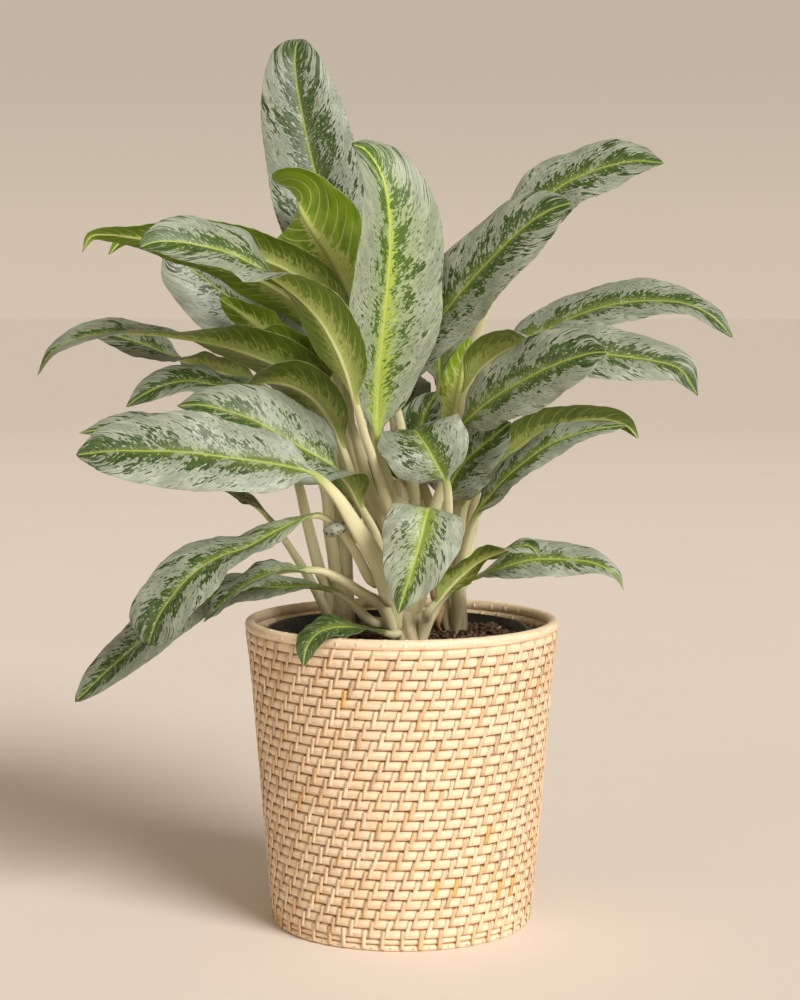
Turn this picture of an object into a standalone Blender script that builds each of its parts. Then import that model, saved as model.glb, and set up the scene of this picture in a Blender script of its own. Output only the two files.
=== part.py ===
"""A potted chinese evergreen in a coiled rattan basket, as separate solids.

The basket stands on the ground at z = 0, the plastic nursery pot stands inside it, and the pot
is filled with soil. Five canes stand in holes in the soil. Each leaf is one solid, petiole and
blade together, that sits against its cane. Sizes below are millimetres, and the meshes are made
in metres. The front of the plant faces -Y.
"""

import math
from dataclasses import dataclass

import bmesh
import bpy
import numpy as np
from mathutils import Vector, noise

MM = 0.001
SEAT_GAP = 0.3

# Basket
BASKET_HEIGHT = 227.6
FOOT_RADIUS = 97.3
WALL_SLOPE = 0.0813
FLARE_START = 170.0
FLARE = 1.8
WALL = 7.0
FLOOR = 7.0
RIM_COIL_RADIUS = 3.9
RIM_COIL_ANGLES = (-50, 0, 45, 90, 135, 180)
FOOT_ROWS_HEIGHT = 9.0
FOOT_CORE_HEIGHT = 4.6
FOOT_CORE_INSET = 1.5
FOOT_CORE_BULGE = 0.7
FOOT_EDGE_ROUND = 2.0
ROWS = 29
GROOVE_DEPTH = 2.4
BASKET_SIDES = 36

# Nursery pot
POT_OFFSET_X = -3.0
POT_FOOT_RADIUS = 78.0
POT_WALL = 1.8
POT_SLOPE = 0.0745
POT_TOP = 220.0
POT_FOOT_BEVEL = 3.0
POT_FOOT_STEP = 2.0
POT_LIP_HEIGHT = 13.0
POT_LIP_WALL = 2.6
POT_LIP_ROUND = 0.8
POT_RIM_RADIUS = 98.4
POT_SIDES = 26

# Soil
SOIL_LEVEL = 210.0
SOIL_TILT = 0.028
SOIL_MOUND = 3.0
SOIL_SIDE_DROP = 8.0
CRUMB_HEIGHT = 1.6
CRUMB_SIZE = 14.0
SOIL_RINGS = (0.18, 0.38, 0.58, 0.78, 0.9, 1.0)
SOIL_SIDES = POT_SIDES
HOLE_FLOOR = 150.0
HOLE_TOP = 250.0
HOLE_ROOM = 0.15

# Canes: foot on the soil (x, y), radius at the soil and at the top, height over the soil
CANES = {
    "front": ((6, -30), 10.5, 6.5, 85),
    "centre": ((0, 6), 9.0, 6.0, 122),
    "left": ((-44, 26), 8.5, 6.0, 110),
    "right": ((41, 22), 8.5, 6.0, 114),
    "back": ((2, 47), 8.5, 6.0, 114),
}
CANE_SIDES = 8
CANE_STEPS = 5
CANE_TOP_TAPER = 2.0

# Leaves
PETIOLE_ROOT_RADIUS = 4.2
PETIOLE_END_RADIUS = 2.8
PETIOLE_LIFT = 0.3
PETIOLE_START = 1.5
PETIOLE_TAPER = 0.8
SEATING_TRIES = 6
SEATING_STEPS = 4
PETIOLE_STEPS = (0.0, 0.13, 0.28, 0.46, 0.68)
BLADE_STEPS = (0.0, 0.06, 0.14, 0.25, 0.37, 0.49, 0.61, 0.73, 0.84, 0.94, 1.0)
BLADE_THICKNESS = 1.2
RIB_THICKNESS = 2.4
TIP_HALF_WIDTH = 0.8
BLADE_FULLNESS = 1.3
FOLD = 0.34
CURL = 0.26
WAVE_HEIGHT = 2.2
WAVE_COUNT = 2.3
WAVE_TURN = 2.4
WAVE_SIDE_TURN = 1.9
BLADE_OPEN = 0.14
UPPER_ACROSS = (-1.0, -0.5, 0.0, 0.5, 1.0)
LOWER_ACROSS = (0.5, 0.0, -0.5)
LEAF_SIDES = len(UPPER_ACROSS) + len(LOWER_ACROSS)
FACING_REACH = 4.0


@dataclass
class Leaf:
    """One leaf as it is sighted from the front.

    Petiole and blade hold points along the leaf's middle line, root to tip, each as (column, row,
    depth): the place in the front view below, and millimetres behind the basket's axis. Bearing is
    where round the cane the petiole starts, in degrees from +X towards +Y. Faces gives the way the
    upper skin looks at places from 0 to 1 along the blade.
    """

    name: str
    cane: str
    root_height: float
    bearing: float
    width: float
    petiole: list
    blade: list
    faces: list
    widest: float = 0.42
    fullness: float = BLADE_FULLNESS
    fold: float = FOLD
    stalk: float = PETIOLE_ROOT_RADIUS


# The front view that the leaves are sighted in: 800 columns by 1000 rows
VIEW_MIDDLE = (400, 500)
VIEW_DISTANCE = 2240.0
VIEW_TILT = math.radians(5.06)
EYE = (-1.3, -1661.0, 462.7)


def sighted(column, row, depth):
    """The place in millimetres that a column and a row of the front view show at a depth."""
    across = (column - VIEW_MIDDLE[0]) / VIEW_DISTANCE
    above = (VIEW_MIDDLE[1] - row) / VIEW_DISTANCE
    forward = math.cos(VIEW_TILT) + above * math.sin(VIEW_TILT)
    upward = above * math.cos(VIEW_TILT) - math.sin(VIEW_TILT)
    reach = (depth - EYE[1]) / forward
    return (EYE[0] + across * reach, depth, EYE[2] + upward * reach)


LEAVES = [
    Leaf(
        "top_tall", cane="back", root_height=96, bearing=180, width=74,
        widest=0.42, fullness=1,
        petiole=[(378, 430, 44), (363, 365, 44)],
        blade=[
            (352, 320, 46), (343, 280, 48), (333, 240, 51), (322, 198, 55), (311, 155, 58),
            (303, 118, 60), (297, 84, 62), (295, 60, 66), (297, 44, 74), (302, 39, 84),
        ],
        faces=[(0, (0.15, -1, 0.1)), (0.85, (0, -1, 0.3)), (1, (0, -0.4, 1))],
    ),
    Leaf(
        "centre_tall", cane="centre", root_height=90, bearing=300, width=82,
        widest=0.52, fullness=1.6, fold=0.6,
        petiole=[(394, 500, -16), (385, 470, -22)],
        blade=[
            (378, 441, -30), (378, 400, -38), (381, 350, -49), (387, 290, -57), (390, 235, -61),
            (386, 190, -61), (377, 165, -59), (364, 149, -55), (351, 144, -51),
        ],
        faces=[(0, (0.1, -1, 0.1)), (0.3, (0.55, -0.83, 0)), (1, (0.7, -0.7, 0))],
    ),
    Leaf(
        "young_lime", cane="centre", root_height=112, bearing=110, width=74,
        widest=0.6, fullness=0.95,
        petiole=[(385, 480, 20), (374, 400, 14), (365, 345, 9)],
        blade=[
            (356, 312, 5), (344, 286, 2), (331, 261, 0), (316, 238, 0), (304, 218, 5),
            (298, 201, 15), (299, 193, 28),
        ],
        faces=[(0, (0.1, 0.95, 0.1)), (0.5, (0.1, 0.95, 0.2)), (1, (0.2, 0.6, 0.7))],
    ),
    Leaf(
        "left_sweep", cane="centre", root_height=66, bearing=240, width=60,
        widest=0.5, fullness=1.15, fold=0.42,
        petiole=[(389, 510, -30), (377, 470, -46), (365, 435, -59)],
        blade=[
            (357, 405, -70), (348, 375, -79), (337, 348, -85), (321, 320, -88), (301, 298, -91),
            (279, 281, -95), (255, 266, -101), (232, 254, -108), (207, 247, -117),
            (180, 242, -125), (155, 242, -131), (138, 248, -135),
        ],
        faces=[
            (0, (0.6, 0.7, 0.3)), (0.2, (0.5, 0.65, 0.5)), (0.38, (0.3, 0.4, 0.85)),
            (0.52, (0, 0, 1)), (0.64, (0, -0.65, 0.75)), (1, (-0.1, -0.85, 0.5)),
        ],
    ),
    Leaf(
        "left_arch_high", cane="centre", root_height=106, bearing=175, width=48,
        fullness=1.7,
        petiole=[(381, 470, 4), (370, 410, 2), (360, 360, 0)],
        blade=[
            (352, 328, -4), (335, 306, -12), (312, 285, -22), (285, 268, -32), (255, 256, -42),
            (220, 247, -52), (180, 241, -60), (140, 238, -66), (108, 234, -70), (91, 236, -72),
            (82, 253, -70),
        ],
        faces=[(0, (0.2, 0.8, 0.5)), (1, (0.1, 0.6, 0.8))],
    ),
    Leaf(
        "left_arch_low", cane="left", root_height=92, bearing=20, width=44,
        petiole=[(352, 450, 29), (346, 390, 24)],
        blade=[
            (336, 345, 17), (315, 318, 4), (288, 296, -4), (255, 277, -14), (222, 262, -22),
            (188, 251, -28), (155, 241, -34), (125, 239, -38), (108, 255, -40),
        ],
        faces=[(0, (0.1, 0.8, 0.6)), (1, (0.1, 0.6, 0.8))],
    ),
    Leaf(
        "left_grey", cane="left", root_height=86, bearing=130, width=68,
        widest=0.55, fullness=1.1,
        petiole=[(330, 450, 44), (333, 400, 48)],
        blade=[
            (325, 372, 49), (302, 350, 49), (272, 326, 49), (240, 304, 47), (209, 282, 44),
            (183, 262, 42), (166, 246, 40),
        ],
        faces=[(0, (-0.3, -0.8, 0.55))],
    ),
    Leaf(
        "left_lime", cane="left", root_height=98, bearing=175, width=36,
        petiole=[(318, 450, 24), (312, 405, 24)],
        blade=[(302, 372, 23), (285, 352, 23), (264, 332, 22), (242, 314, 20), (219, 298, 20)],
        faces=[(0, (0.2, 0.8, 0.5))],
    ),
    Leaf(
        "left_inner", cane="centre", root_height=64, bearing=165, width=40,
        petiole=[(372, 520, 14), (355, 460, 13), (340, 418, 10)],
        blade=[(325, 390, 7), (308, 367, 4), (290, 350, 2), (274, 337, 1), (260, 331, 1)],
        faces=[(0, (0.1, 0.8, 0.5))],
    ),
    Leaf(
        "left_long", cane="centre", root_height=80, bearing=200, width=56,
        fullness=1.45, fold=0.45,
        petiole=[(374, 500, 2), (363, 465, 0), (353, 430, -1)],
        blade=[
            (342, 404, -2), (325, 389, -4), (297, 374, -7), (269, 361, -11), (240, 350, -16),
            (210, 342, -23), (180, 337, -30), (145, 333, -38), (109, 333, -44), (75, 340, -46),
            (52, 352, -45), (37, 376, -44),
        ],
        faces=[
            (0, (0.1, 0.85, 0.5)), (0.4, (0.1, 0.5, 0.85)), (0.55, (0, -0.1, 1)),
            (0.75, (0, -0.3, 0.95)), (1, (-0.2, -0.5, 0.85)),
        ],
    ),
    Leaf(
        "left_under_long", cane="left", root_height=60, bearing=225, width=42,
        petiole=[(326, 490, 11), (305, 440, 16), (285, 405, 23)],
        blade=[
            (262, 387, 27), (240, 378, 27), (215, 370, 25), (190, 362, 21), (165, 353, 16),
            (140, 343, 11), (110, 334, 7), (78, 327, 4),
        ],
        faces=[
            (0, (0, 0.8, 0.6)), (0.35, (0, 0.5, 0.85)), (0.5, (0, -0.4, 0.9)),
            (1, (-0.1, -0.8, 0.6)),
        ],
    ),
    Leaf(
        "left_small", cane="centre", root_height=50, bearing=225, width=50,
        fold=0.4,
        petiole=[(378, 545, -9), (365, 510, -13), (352, 475, -14)],
        blade=[
            (343, 450, -15), (330, 420, -17), (312, 397, -20), (290, 385, -24), (265, 381, -26),
            (240, 385, -28), (215, 385, -31), (190, 381, -34), (165, 385, -38), (143, 395, -42),
            (126, 407, -45),
        ],
        faces=[
            (0, (0.2, 0.8, 0.55)), (0.35, (0.1, 0.6, 0.8)), (0.52, (0, 0, 1)),
            (0.68, (0, -0.5, 0.8)), (1, (0, -0.8, 0.6)),
        ],
    ),
    Leaf(
        "left_mid", cane="front", root_height=62, bearing=130, width=66,
        petiole=[(385, 570, -24), (376, 535, -30)],
        blade=[
            (362, 508, -40), (347, 481, -46), (330, 464, -50), (308, 451, -54), (282, 436, -59),
            (256, 421, -62), (228, 411, -64), (200, 405, -66), (177, 406, -67),
        ],
        faces=[
            (0, (0.4, 0.7, 0.5)), (0.15, (0.3, 0.3, 0.8)), (0.28, (0.1, -0.5, 0.8)),
            (0.4, (0.1, -0.75, 0.65)), (1, (0, -0.8, 0.6)),
        ],
    ),
    Leaf(
        "left_front", cane="front", root_height=40, bearing=215, width=60,
        widest=0.52, fullness=1.2, stalk=7.5,
        petiole=[(392, 598, -52), (380, 566, -62), (356, 526, -75), (336, 495, -83)],
        blade=[
            (318, 477, -88), (305, 471, -91), (282, 465, -95), (256, 461, -99), (218, 456, -105),
            (186, 452, -110), (147, 451, -114), (110, 451, -117), (76, 455, -119),
        ],
        faces=[(0, (0.1, -0.85, 0.5))],
    ),
    Leaf(
        "left_behind", cane="left", root_height=34, bearing=180, width=40,
        petiole=[(320, 570, 20), (308, 525, 10), (298, 482, 0)],
        blade=[
            (288, 458, -8), (262, 442, -18), (220, 433, -30), (170, 428, -42), (120, 427, -52),
            (79, 433, -58),
        ],
        faces=[(0, (0, -0.6, 0.8))],
    ),
    Leaf(
        "left_thin", cane="left", root_height=14, bearing=205, width=34,
        petiole=[(316, 588, 18), (301, 563, 12), (288, 543, 6)],
        blade=[
            (273, 522, 0), (262, 510, -4), (250, 501, -8), (238, 495, -12), (225, 489, -16),
            (200, 480, -24), (170, 475, -30), (140, 474, -34),
        ],
        faces=[(0, (0.2, -0.2, 1))],
    ),
    Leaf(
        "low_left_a", cane="front", root_height=44, bearing=162, width=54,
        widest=0.74, fullness=1.4,
        petiole=[(374, 582, -47), (354, 548, -58), (338, 527, -64)],
        blade=[
            (320, 515, -67), (308, 516, -69), (292, 523, -72), (270, 534, -76), (247, 547, -82),
            (224, 555, -88), (206, 564, -92), (188, 578, -97), (171, 598, -102), (157, 620, -105),
            (148, 646, -107),
        ],
        faces=[
            (0, (0.2, 0.3, 0.9)), (0.12, (0.1, -0.3, 1)), (0.22, (0.1, -0.6, 0.85)),
            (0.36, (0, -0.35, 0.95)), (0.5, (-0.1, -0.45, 0.9)), (0.65, (-0.4, -0.75, 0.5)),
            (1, (-0.5, -0.8, 0.4)),
        ],
    ),
    Leaf(
        "low_left_b", cane="front", root_height=20, bearing=200, width=34,
        fold=0.5, stalk=5.5,
        petiole=[(366, 594, -48), (342, 579, -55), (324, 571, -60)],
        blade=[
            (306, 569, -63), (288, 570, -66), (268, 575, -68), (250, 583, -70), (234, 594, -71),
            (218, 608, -72), (203, 622, -72),
        ],
        faces=[(0, (0.1, -0.15, 1)), (1, (0, -0.3, 0.95))],
    ),
    Leaf(
        "low_left_c", cane="front", root_height=9, bearing=160, width=44,
        widest=0.6, stalk=5,
        petiole=[(372, 620, -32), (354, 604, -35)],
        blade=[
            (338, 592, -37), (315, 586, -37), (285, 587, -36), (255, 587, -35), (232, 589, -35),
            (206, 599, -37), (181, 612, -40), (156, 629, -44), (131, 650, -48), (105, 673, -54),
            (75, 702, -58),
        ],
        faces=[
            (0, (0, -0.1, 1)), (0.4, (-0.2, -0.6, 0.75)), (0.6, (-0.3, -0.65, 0.7)),
            (1, (-0.4, -0.7, 0.6)),
        ],
    ),
    Leaf(
        "rim_leaf", cane="front", root_height=6, bearing=240, width=30,
        petiole=[(392, 634, -56)],
        blade=[
            (384, 632, -64), (368, 629, -74), (350, 627, -84), (332, 628, -92), (317, 634, -104),
            (307, 648, -114), (303, 667, -119),
        ],
        faces=[
            (0, (0, -0.1, 1)), (0.5, (0, -0.4, 0.9)), (0.8, (-0.3, -0.8, 0.5)),
            (1, (-0.3, -0.9, 0.3)),
        ],
    ),
    Leaf(
        "front_hanging", cane="front", root_height=60, bearing=290, width=56,
        widest=0.3, fullness=1.2,
        petiole=[(418, 570, -52), (428, 530, -66)],
        blade=[
            (430, 510, -78), (427, 514, -90), (423, 532, -97), (418, 551, -101), (412, 571, -104),
            (405, 592, -106), (398, 614, -107),
        ],
        faces=[(0, (0, -0.4, 0.9)), (0.15, (0, -1, 0.3)), (1, (0, -1, 0.3))],
    ),
    Leaf(
        "mid_cup", cane="front", root_height=52, bearing=345, width=64,
        widest=0.5, fullness=1.1,
        petiole=[(438, 560, -40), (447, 520, -50), (448, 500, -54)],
        blade=[
            (446, 482, -57), (438, 466, -59), (429, 450, -58), (421, 438, -52), (416, 431, -42),
            (412, 430, -32), (409, 436, -22),
        ],
        faces=[(0, (-0.35, -0.75, 0.5)), (0.5, (-0.3, -0.5, 0.8)), (1, (-0.2, 0.4, 0.9))],
    ),
    Leaf(
        "mid_dark", cane="right", root_height=70, bearing=190, width=38,
        petiole=[(430, 505, 16)],
        blade=[(421, 475, 12), (418, 445, 9), (424, 416, 6), (437, 391, 2)],
        faces=[(0, (0, -0.9, 0.4))],
    ),
    Leaf(
        "right_diag", cane="centre", root_height=100, bearing=340, width=57,
        widest=0.57, fullness=1.2,
        petiole=[(408, 465, -4), (400, 425, -8)],
        blade=[
            (395, 394, -12), (402, 375, -15), (415, 355, -20), (427, 335, -26), (441, 317, -32),
            (457, 297, -40), (474, 277, -48), (494, 256, -57), (514, 236, -64), (536, 218, -70),
            (557, 207, -73), (572, 203, -75),
        ],
        faces=[(0, (-0.35, -0.85, 0.35))],
    ),
    Leaf(
        "right_top", cane="back", root_height=100, bearing=10, width=55,
        widest=0.48, fullness=1.25,
        petiole=[(436, 440, 44), (462, 370, 40), (490, 300, 37)],
        blade=[
            (509, 255, 36), (523, 228, 35), (540, 205, 34), (560, 187, 33), (583, 175, 31),
            (608, 166, 29), (637, 161, 27), (664, 163, 25),
        ],
        faces=[(0, (-0.1, -0.75, 0.65))],
    ),
    Leaf(
        "right_long_high", cane="right", root_height=96, bearing=10, width=54,
        petiole=[(480, 460, 28), (490, 405, 22)],
        blade=[
            (499, 354, 16), (520, 340, 14), (546, 330, 12), (569, 319, 10), (592, 310, 8),
            (615, 304, 6), (640, 301, 4), (665, 301, 2), (690, 305, 0), (713, 317, -2),
            (733, 338, -3),
        ],
        faces=[(0, (0, -0.55, 0.83))],
    ),
    Leaf(
        "right_long_low", cane="right", root_height=80, bearing=330, width=54,
        petiole=[(474, 490, 12), (468, 440, 0), (462, 414, -8)],
        blade=[
            (464, 394, -14), (480, 370, -21), (499, 353, -27), (525, 342, -33), (548, 340, -38),
            (572, 346, -42), (600, 353, -45), (630, 357, -47), (655, 361, -49), (680, 369, -51),
            (698, 396, -51),
        ],
        faces=[
            (0, (-0.1, 0.8, 0.6)), (0.3, (0, 0.4, 0.9)), (0.42, (0, -0.4, 0.9)),
            (0.55, (0, -0.8, 0.6)), (1, (0, -0.8, 0.6)),
        ],
    ),
    Leaf(
        "right_front", cane="centre", root_height=60, bearing=310, width=58,
        widest=0.56, fullness=1.25,
        petiole=[(424, 545, -14), (436, 505, -20), (450, 462, -28)],
        blade=[
            (460, 430, -36), (475, 413, -46), (495, 397, -58), (520, 382, -71), (545, 369, -82),
            (570, 359, -91), (592, 353, -97), (607, 352, -100),
        ],
        faces=[(0, (-0.2, -0.85, 0.5))],
    ),
    Leaf(
        "right_low_dark", cane="centre", root_height=36, bearing=350, width=50,
        petiole=[(428, 560, -2), (436, 528, -6)],
        blade=[
            (444, 503, -10), (452, 482, -13), (465, 462, -16), (482, 446, -19), (498, 433, -21),
            (511, 422, -23),
        ],
        faces=[(0, (-0.1, -0.8, 0.5))],
    ),
    Leaf(
        "right_narrow_a", cane="right", root_height=30, bearing=215, width=36,
        fold=0.5,
        petiole=[(448, 590, 11), (455, 560, 6), (460, 532, 3)],
        blade=[
            (464, 508, 1), (472, 491, -1), (488, 472, -4), (510, 453, -7), (535, 435, -10),
            (560, 424, -13), (585, 419, -15), (608, 419, -17), (626, 425, -18), (639, 439, -18),
        ],
        faces=[(0, (-0.2, 0.7, 0.7))],
    ),
    Leaf(
        "right_narrow_b", cane="right", root_height=14, bearing=270, width=30,
        petiole=[(457, 580, 0), (463, 552, -7), (469, 532, -12)],
        blade=[
            (476, 515, -17), (490, 496, -22), (507, 477, -27), (526, 461, -31), (547, 446, -34),
            (570, 436, -37), (597, 429, -39), (628, 425, -40),
        ],
        faces=[(0, (-0.3, -0.65, 0.7))],
    ),
    Leaf(
        "low_right_a", cane="front", root_height=14, bearing=320, width=32,
        petiole=[(428, 612, -52)],
        blade=[
            (436, 602, -56), (448, 588, -60), (462, 574, -63), (478, 561, -66), (498, 552, -69),
            (516, 546, -72), (531, 547, -75), (540, 558, -77),
        ],
        faces=[
            (0, (-0.3, 0.6, 0.7)), (0.6, (-0.1, 0.4, 0.9)), (0.8, (0, -0.4, 0.9)),
            (1, (0.2, -0.6, 0.7)),
        ],
    ),
    Leaf(
        "low_right_b", cane="front", root_height=18, bearing=0, width=34,
        widest=0.38, fullness=1.7,
        petiole=[(440, 600, -32)],
        blade=[
            (458, 583, -35), (480, 575, -38), (505, 567, -41), (530, 560, -44), (552, 559, -46),
            (572, 560, -48), (590, 562, -50), (606, 568, -52), (618, 577, -53), (624, 591, -54),
        ],
        faces=[
            (0, (-0.1, 0.3, 0.9)), (0.25, (0, -0.3, 0.95)), (0.4, (0, -0.8, 0.6)),
            (1, (0, -0.8, 0.6)),
        ],
    ),
    Leaf(
        "right_lime", cane="right", root_height=90, bearing=215, width=26,
        petiole=[(446, 480, 12)],
        blade=[(450, 430, 9), (457, 392, 6), (463, 362, 4), (470, 336, 2)],
        faces=[(0, (0, 0.9, 0.3))],
    ),
    Leaf(
        "back_a", cane="back", root_height=80, bearing=150, width=58,
        petiole=[(378, 460, 62)],
        blade=[(370, 405, 80), (362, 355, 115), (356, 328, 155), (352, 338, 198), (350, 362, 235)],
        faces=[(0, (0, -0.5, 0.8)), (1, (0, 0.4, 0.8))],
    ),
    Leaf(
        "back_b", cane="back", root_height=58, bearing=170, width=56,
        petiole=[(368, 500, 56)],
        blade=[(345, 420, 70), (315, 365, 102), (287, 340, 138), (262, 346, 175), (245, 368, 208)],
        faces=[(0, (0.2, -0.5, 0.8)), (1, (-0.2, 0.5, 0.8))],
    ),
    Leaf(
        "back_c", cane="right", root_height=92, bearing=110, width=54,
        petiole=[(440, 450, 52)],
        blade=[(440, 385, 68), (440, 340, 105), (446, 305, 145), (458, 284, 182), (470, 290, 215)],
        faces=[(0, (-0.2, -0.6, 0.8)), (1, (0.2, 0.4, 0.8))],
    ),
    Leaf(
        "back_d", cane="left", root_height=48, bearing=110, width=56,
        petiole=[(345, 520, 52)],
        blade=[(338, 472, 65), (315, 434, 100), (290, 416, 141), (262, 426, 179), (240, 450, 208)],
        faces=[(0, (0.2, -0.5, 0.8)), (1, (-0.2, 0.5, 0.8))],
    ),
    Leaf(
        "back_e", cane="right", root_height=62, bearing=30, width=50,
        petiole=[(474, 505, 40)],
        blade=[(472, 445, 56), (476, 412, 90), (485, 394, 130), (496, 389, 170), (507, 398, 200)],
        faces=[(0, (-0.2, -0.5, 0.8)), (1, (0.2, 0.5, 0.8))],
    ),
    Leaf(
        "back_f", cane="back", root_height=104, bearing=85, width=60,
        petiole=[(395, 420, 70)],
        blade=[(388, 310, 80), (378, 248, 108), (366, 212, 140), (354, 196, 175), (347, 205, 208)],
        faces=[(0, (0, -0.7, 0.6)), (1, (0, 0.4, 0.8))],
    ),
    Leaf(
        "back_g", cane="back", root_height=44, bearing=110, width=52,
        petiole=[(392, 540, 72)],
        blade=[(388, 512, 90), (382, 480, 120), (376, 462, 162), (371, 478, 208)],
        faces=[(0, (0, -0.5, 0.8)), (1, (0, 0.5, 0.8))],
    ),
    Leaf(
        "back_h", cane="left", root_height=74, bearing=85, width=58,
        petiole=[(338, 450, 52)],
        blade=[(336, 375, 65), (312, 318, 105), (286, 290, 148), (262, 284, 188), (240, 294, 220)],
        faces=[(0, (0.3, -0.6, 0.7)), (1, (-0.2, 0.4, 0.8))],
    ),
    Leaf(
        "back_i", cane="right", root_height=104, bearing=60, width=48,
        petiole=[(462, 460, 46)],
        blade=[(460, 405, 60), (464, 368, 100), (470, 350, 140), (482, 352, 180)],
        faces=[(0, (-0.2, -0.6, 0.7)), (1, (0.2, 0.5, 0.8))],
    ),
    Leaf(
        "back_j", cane="back", root_height=70, bearing=30, width=48,
        petiole=[(420, 480, 60)],
        blade=[(412, 432, 80), (402, 395, 118), (396, 376, 162), (394, 388, 210)],
        faces=[(0, (0, -0.5, 0.8)), (1, (0, 0.5, 0.8))],
    ),
    Leaf(
        "back_k", cane="back", root_height=22, bearing=60, width=48,
        petiole=[(412, 590, 72)],
        blade=[(412, 565, 92), (412, 546, 128), (414, 550, 172), (416, 582, 212)],
        faces=[(0, (0, -0.5, 0.8)), (1, (0, 0.5, 0.8))],
    ),
]


def clear_scene():
    for old in list(bpy.data.objects):
        bpy.data.objects.remove(old, do_unlink=True)


def finish_material(name, color, roughness, metallic=0.0):
    made = bpy.data.materials.new(name)
    made.use_nodes = True
    shader = made.node_tree.nodes["Principled BSDF"]
    shader.inputs["Base Color"].default_value = (*color, 1.0)
    shader.inputs["Roughness"].default_value = roughness
    shader.inputs["Metallic"].default_value = metallic
    return made


def add_object(name, shape, finish, holder, location=(0.0, 0.0, 0.0)):
    """An object in metres from a bmesh in millimetres, with its faces outward and shaded smooth."""
    bmesh.ops.recalc_face_normals(shape, faces=shape.faces)
    bmesh.ops.scale(shape, vec=(MM, MM, MM), verts=shape.verts)
    mesh = bpy.data.meshes.new(name)
    shape.to_mesh(mesh)
    shape.free()
    mesh.materials.append(finish)
    mesh.shade_smooth()
    mesh.set_sharp_from_angle(angle=math.radians(50))
    made = bpy.data.objects.new(name, mesh)
    made.location = [value * MM for value in location]
    made.parent = holder
    bpy.context.scene.collection.objects.link(made)
    return made


def turned(profile, sides):
    """A bmesh of the profile (radius, height) turned round the Z axis and closed on it."""
    shape = bmesh.new()
    points = [shape.verts.new((radius, 0.0, height)) for radius, height in profile]
    for lower, upper in zip(points, points[1:]):
        shape.edges.new((lower, upper))
    bmesh.ops.spin(
        shape,
        geom=shape.verts[:] + shape.edges[:],
        cent=(0, 0, 0),
        axis=(0, 0, 1),
        angle=2 * math.pi,
        steps=sides,
        use_merge=True,
    )
    bmesh.ops.remove_doubles(shape, verts=shape.verts, dist=0.001)
    return shape


# Basket

def wall_radius(height):
    """Outer radius of the basket's wall at a height, over the crests of the coils."""
    flare = max(0.0, height - FLARE_START) / (BASKET_HEIGHT - FLARE_START)
    return FOOT_RADIUS + WALL_SLOPE * height + FLARE * flare**2


def basket_profile():
    """The coiled wall from the middle of the foot, over the rim and down to the basket's floor."""
    coil_z = BASKET_HEIGHT - RIM_COIL_RADIUS
    coil_r = wall_radius(coil_z) - RIM_COIL_RADIUS
    rows_top = coil_z - RIM_COIL_RADIUS * 0.8
    pitch = (rows_top - FOOT_ROWS_HEIGHT) / ROWS
    foot = wall_radius(0.0)
    core = foot - FOOT_CORE_INSET
    profile = [
        (0.0, 0.0),
        (core - FOOT_EDGE_ROUND, 0.0),
        (core + FOOT_CORE_BULGE, FOOT_CORE_HEIGHT / 2),
        (core, FOOT_CORE_HEIGHT),
    ]
    for row in range(ROWS):
        groove = FOOT_ROWS_HEIGHT + row * pitch
        crest = groove + pitch / 2
        profile.append((wall_radius(groove) - GROOVE_DEPTH, groove))
        profile.append((wall_radius(crest), crest))
    for degrees in RIM_COIL_ANGLES:
        angle = math.radians(degrees)
        profile.append((
            coil_r + RIM_COIL_RADIUS * math.cos(angle),
            coil_z + RIM_COIL_RADIUS * math.sin(angle),
        ))
    for height in (BASKET_HEIGHT * 0.66, BASKET_HEIGHT * 0.33, FLOOR):
        profile.append((wall_radius(height) - WALL, height))
    profile.append((0.0, FLOOR))
    return profile


def build_basket(holder):
    cane_finish = finish_material("rattan_cane", (0.82, 0.62, 0.38), 0.55)
    add_object("basket", turned(basket_profile(), BASKET_SIDES), cane_finish, holder)


# Nursery pot

def pot_radius(height):
    """Outer radius of the pot's wall at a height."""
    return POT_FOOT_RADIUS + POT_FOOT_STEP + POT_SLOPE * (height - FLOOR - POT_FOOT_BEVEL)


def build_pot(holder):
    foot = FLOOR + SEAT_GAP
    under_lip = POT_TOP - POT_LIP_HEIGHT
    bevel = foot + POT_FOOT_BEVEL
    lip_inside = POT_RIM_RADIUS - POT_LIP_WALL
    profile = [
        (0.0, foot),
        (POT_FOOT_RADIUS, foot),
        (pot_radius(bevel), bevel),
        (pot_radius(under_lip), under_lip),
        (POT_RIM_RADIUS, under_lip + POT_LIP_ROUND),
        (POT_RIM_RADIUS, POT_TOP - POT_LIP_ROUND),
        (POT_RIM_RADIUS - POT_LIP_ROUND, POT_TOP),
        (lip_inside + POT_LIP_ROUND, POT_TOP),
        (lip_inside, POT_TOP - POT_LIP_ROUND),
        (pot_radius(under_lip) - POT_WALL, under_lip - POT_WALL),
        (pot_radius(bevel) - POT_WALL, bevel),
        (POT_FOOT_RADIUS - POT_WALL, foot + POT_WALL),
        (0.0, foot + POT_WALL),
    ]
    plastic = finish_material("pot_plastic", (0.012, 0.012, 0.014), 0.45)
    add_object("nursery_pot", turned(profile, POT_SIDES), plastic, holder, (POT_OFFSET_X, 0, 0))


# Soil

def soil_height(x, y):
    """Height of the soil's surface at a place measured from the pot's axis."""
    spread = math.hypot(x, y) / POT_RIM_RADIUS
    crumbs = noise.noise(Vector((x, y, 0.0)) / CRUMB_SIZE) * CRUMB_HEIGHT
    return SOIL_LEVEL + SOIL_TILT * x + SOIL_MOUND * (1.0 - spread**2) + crumbs


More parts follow.
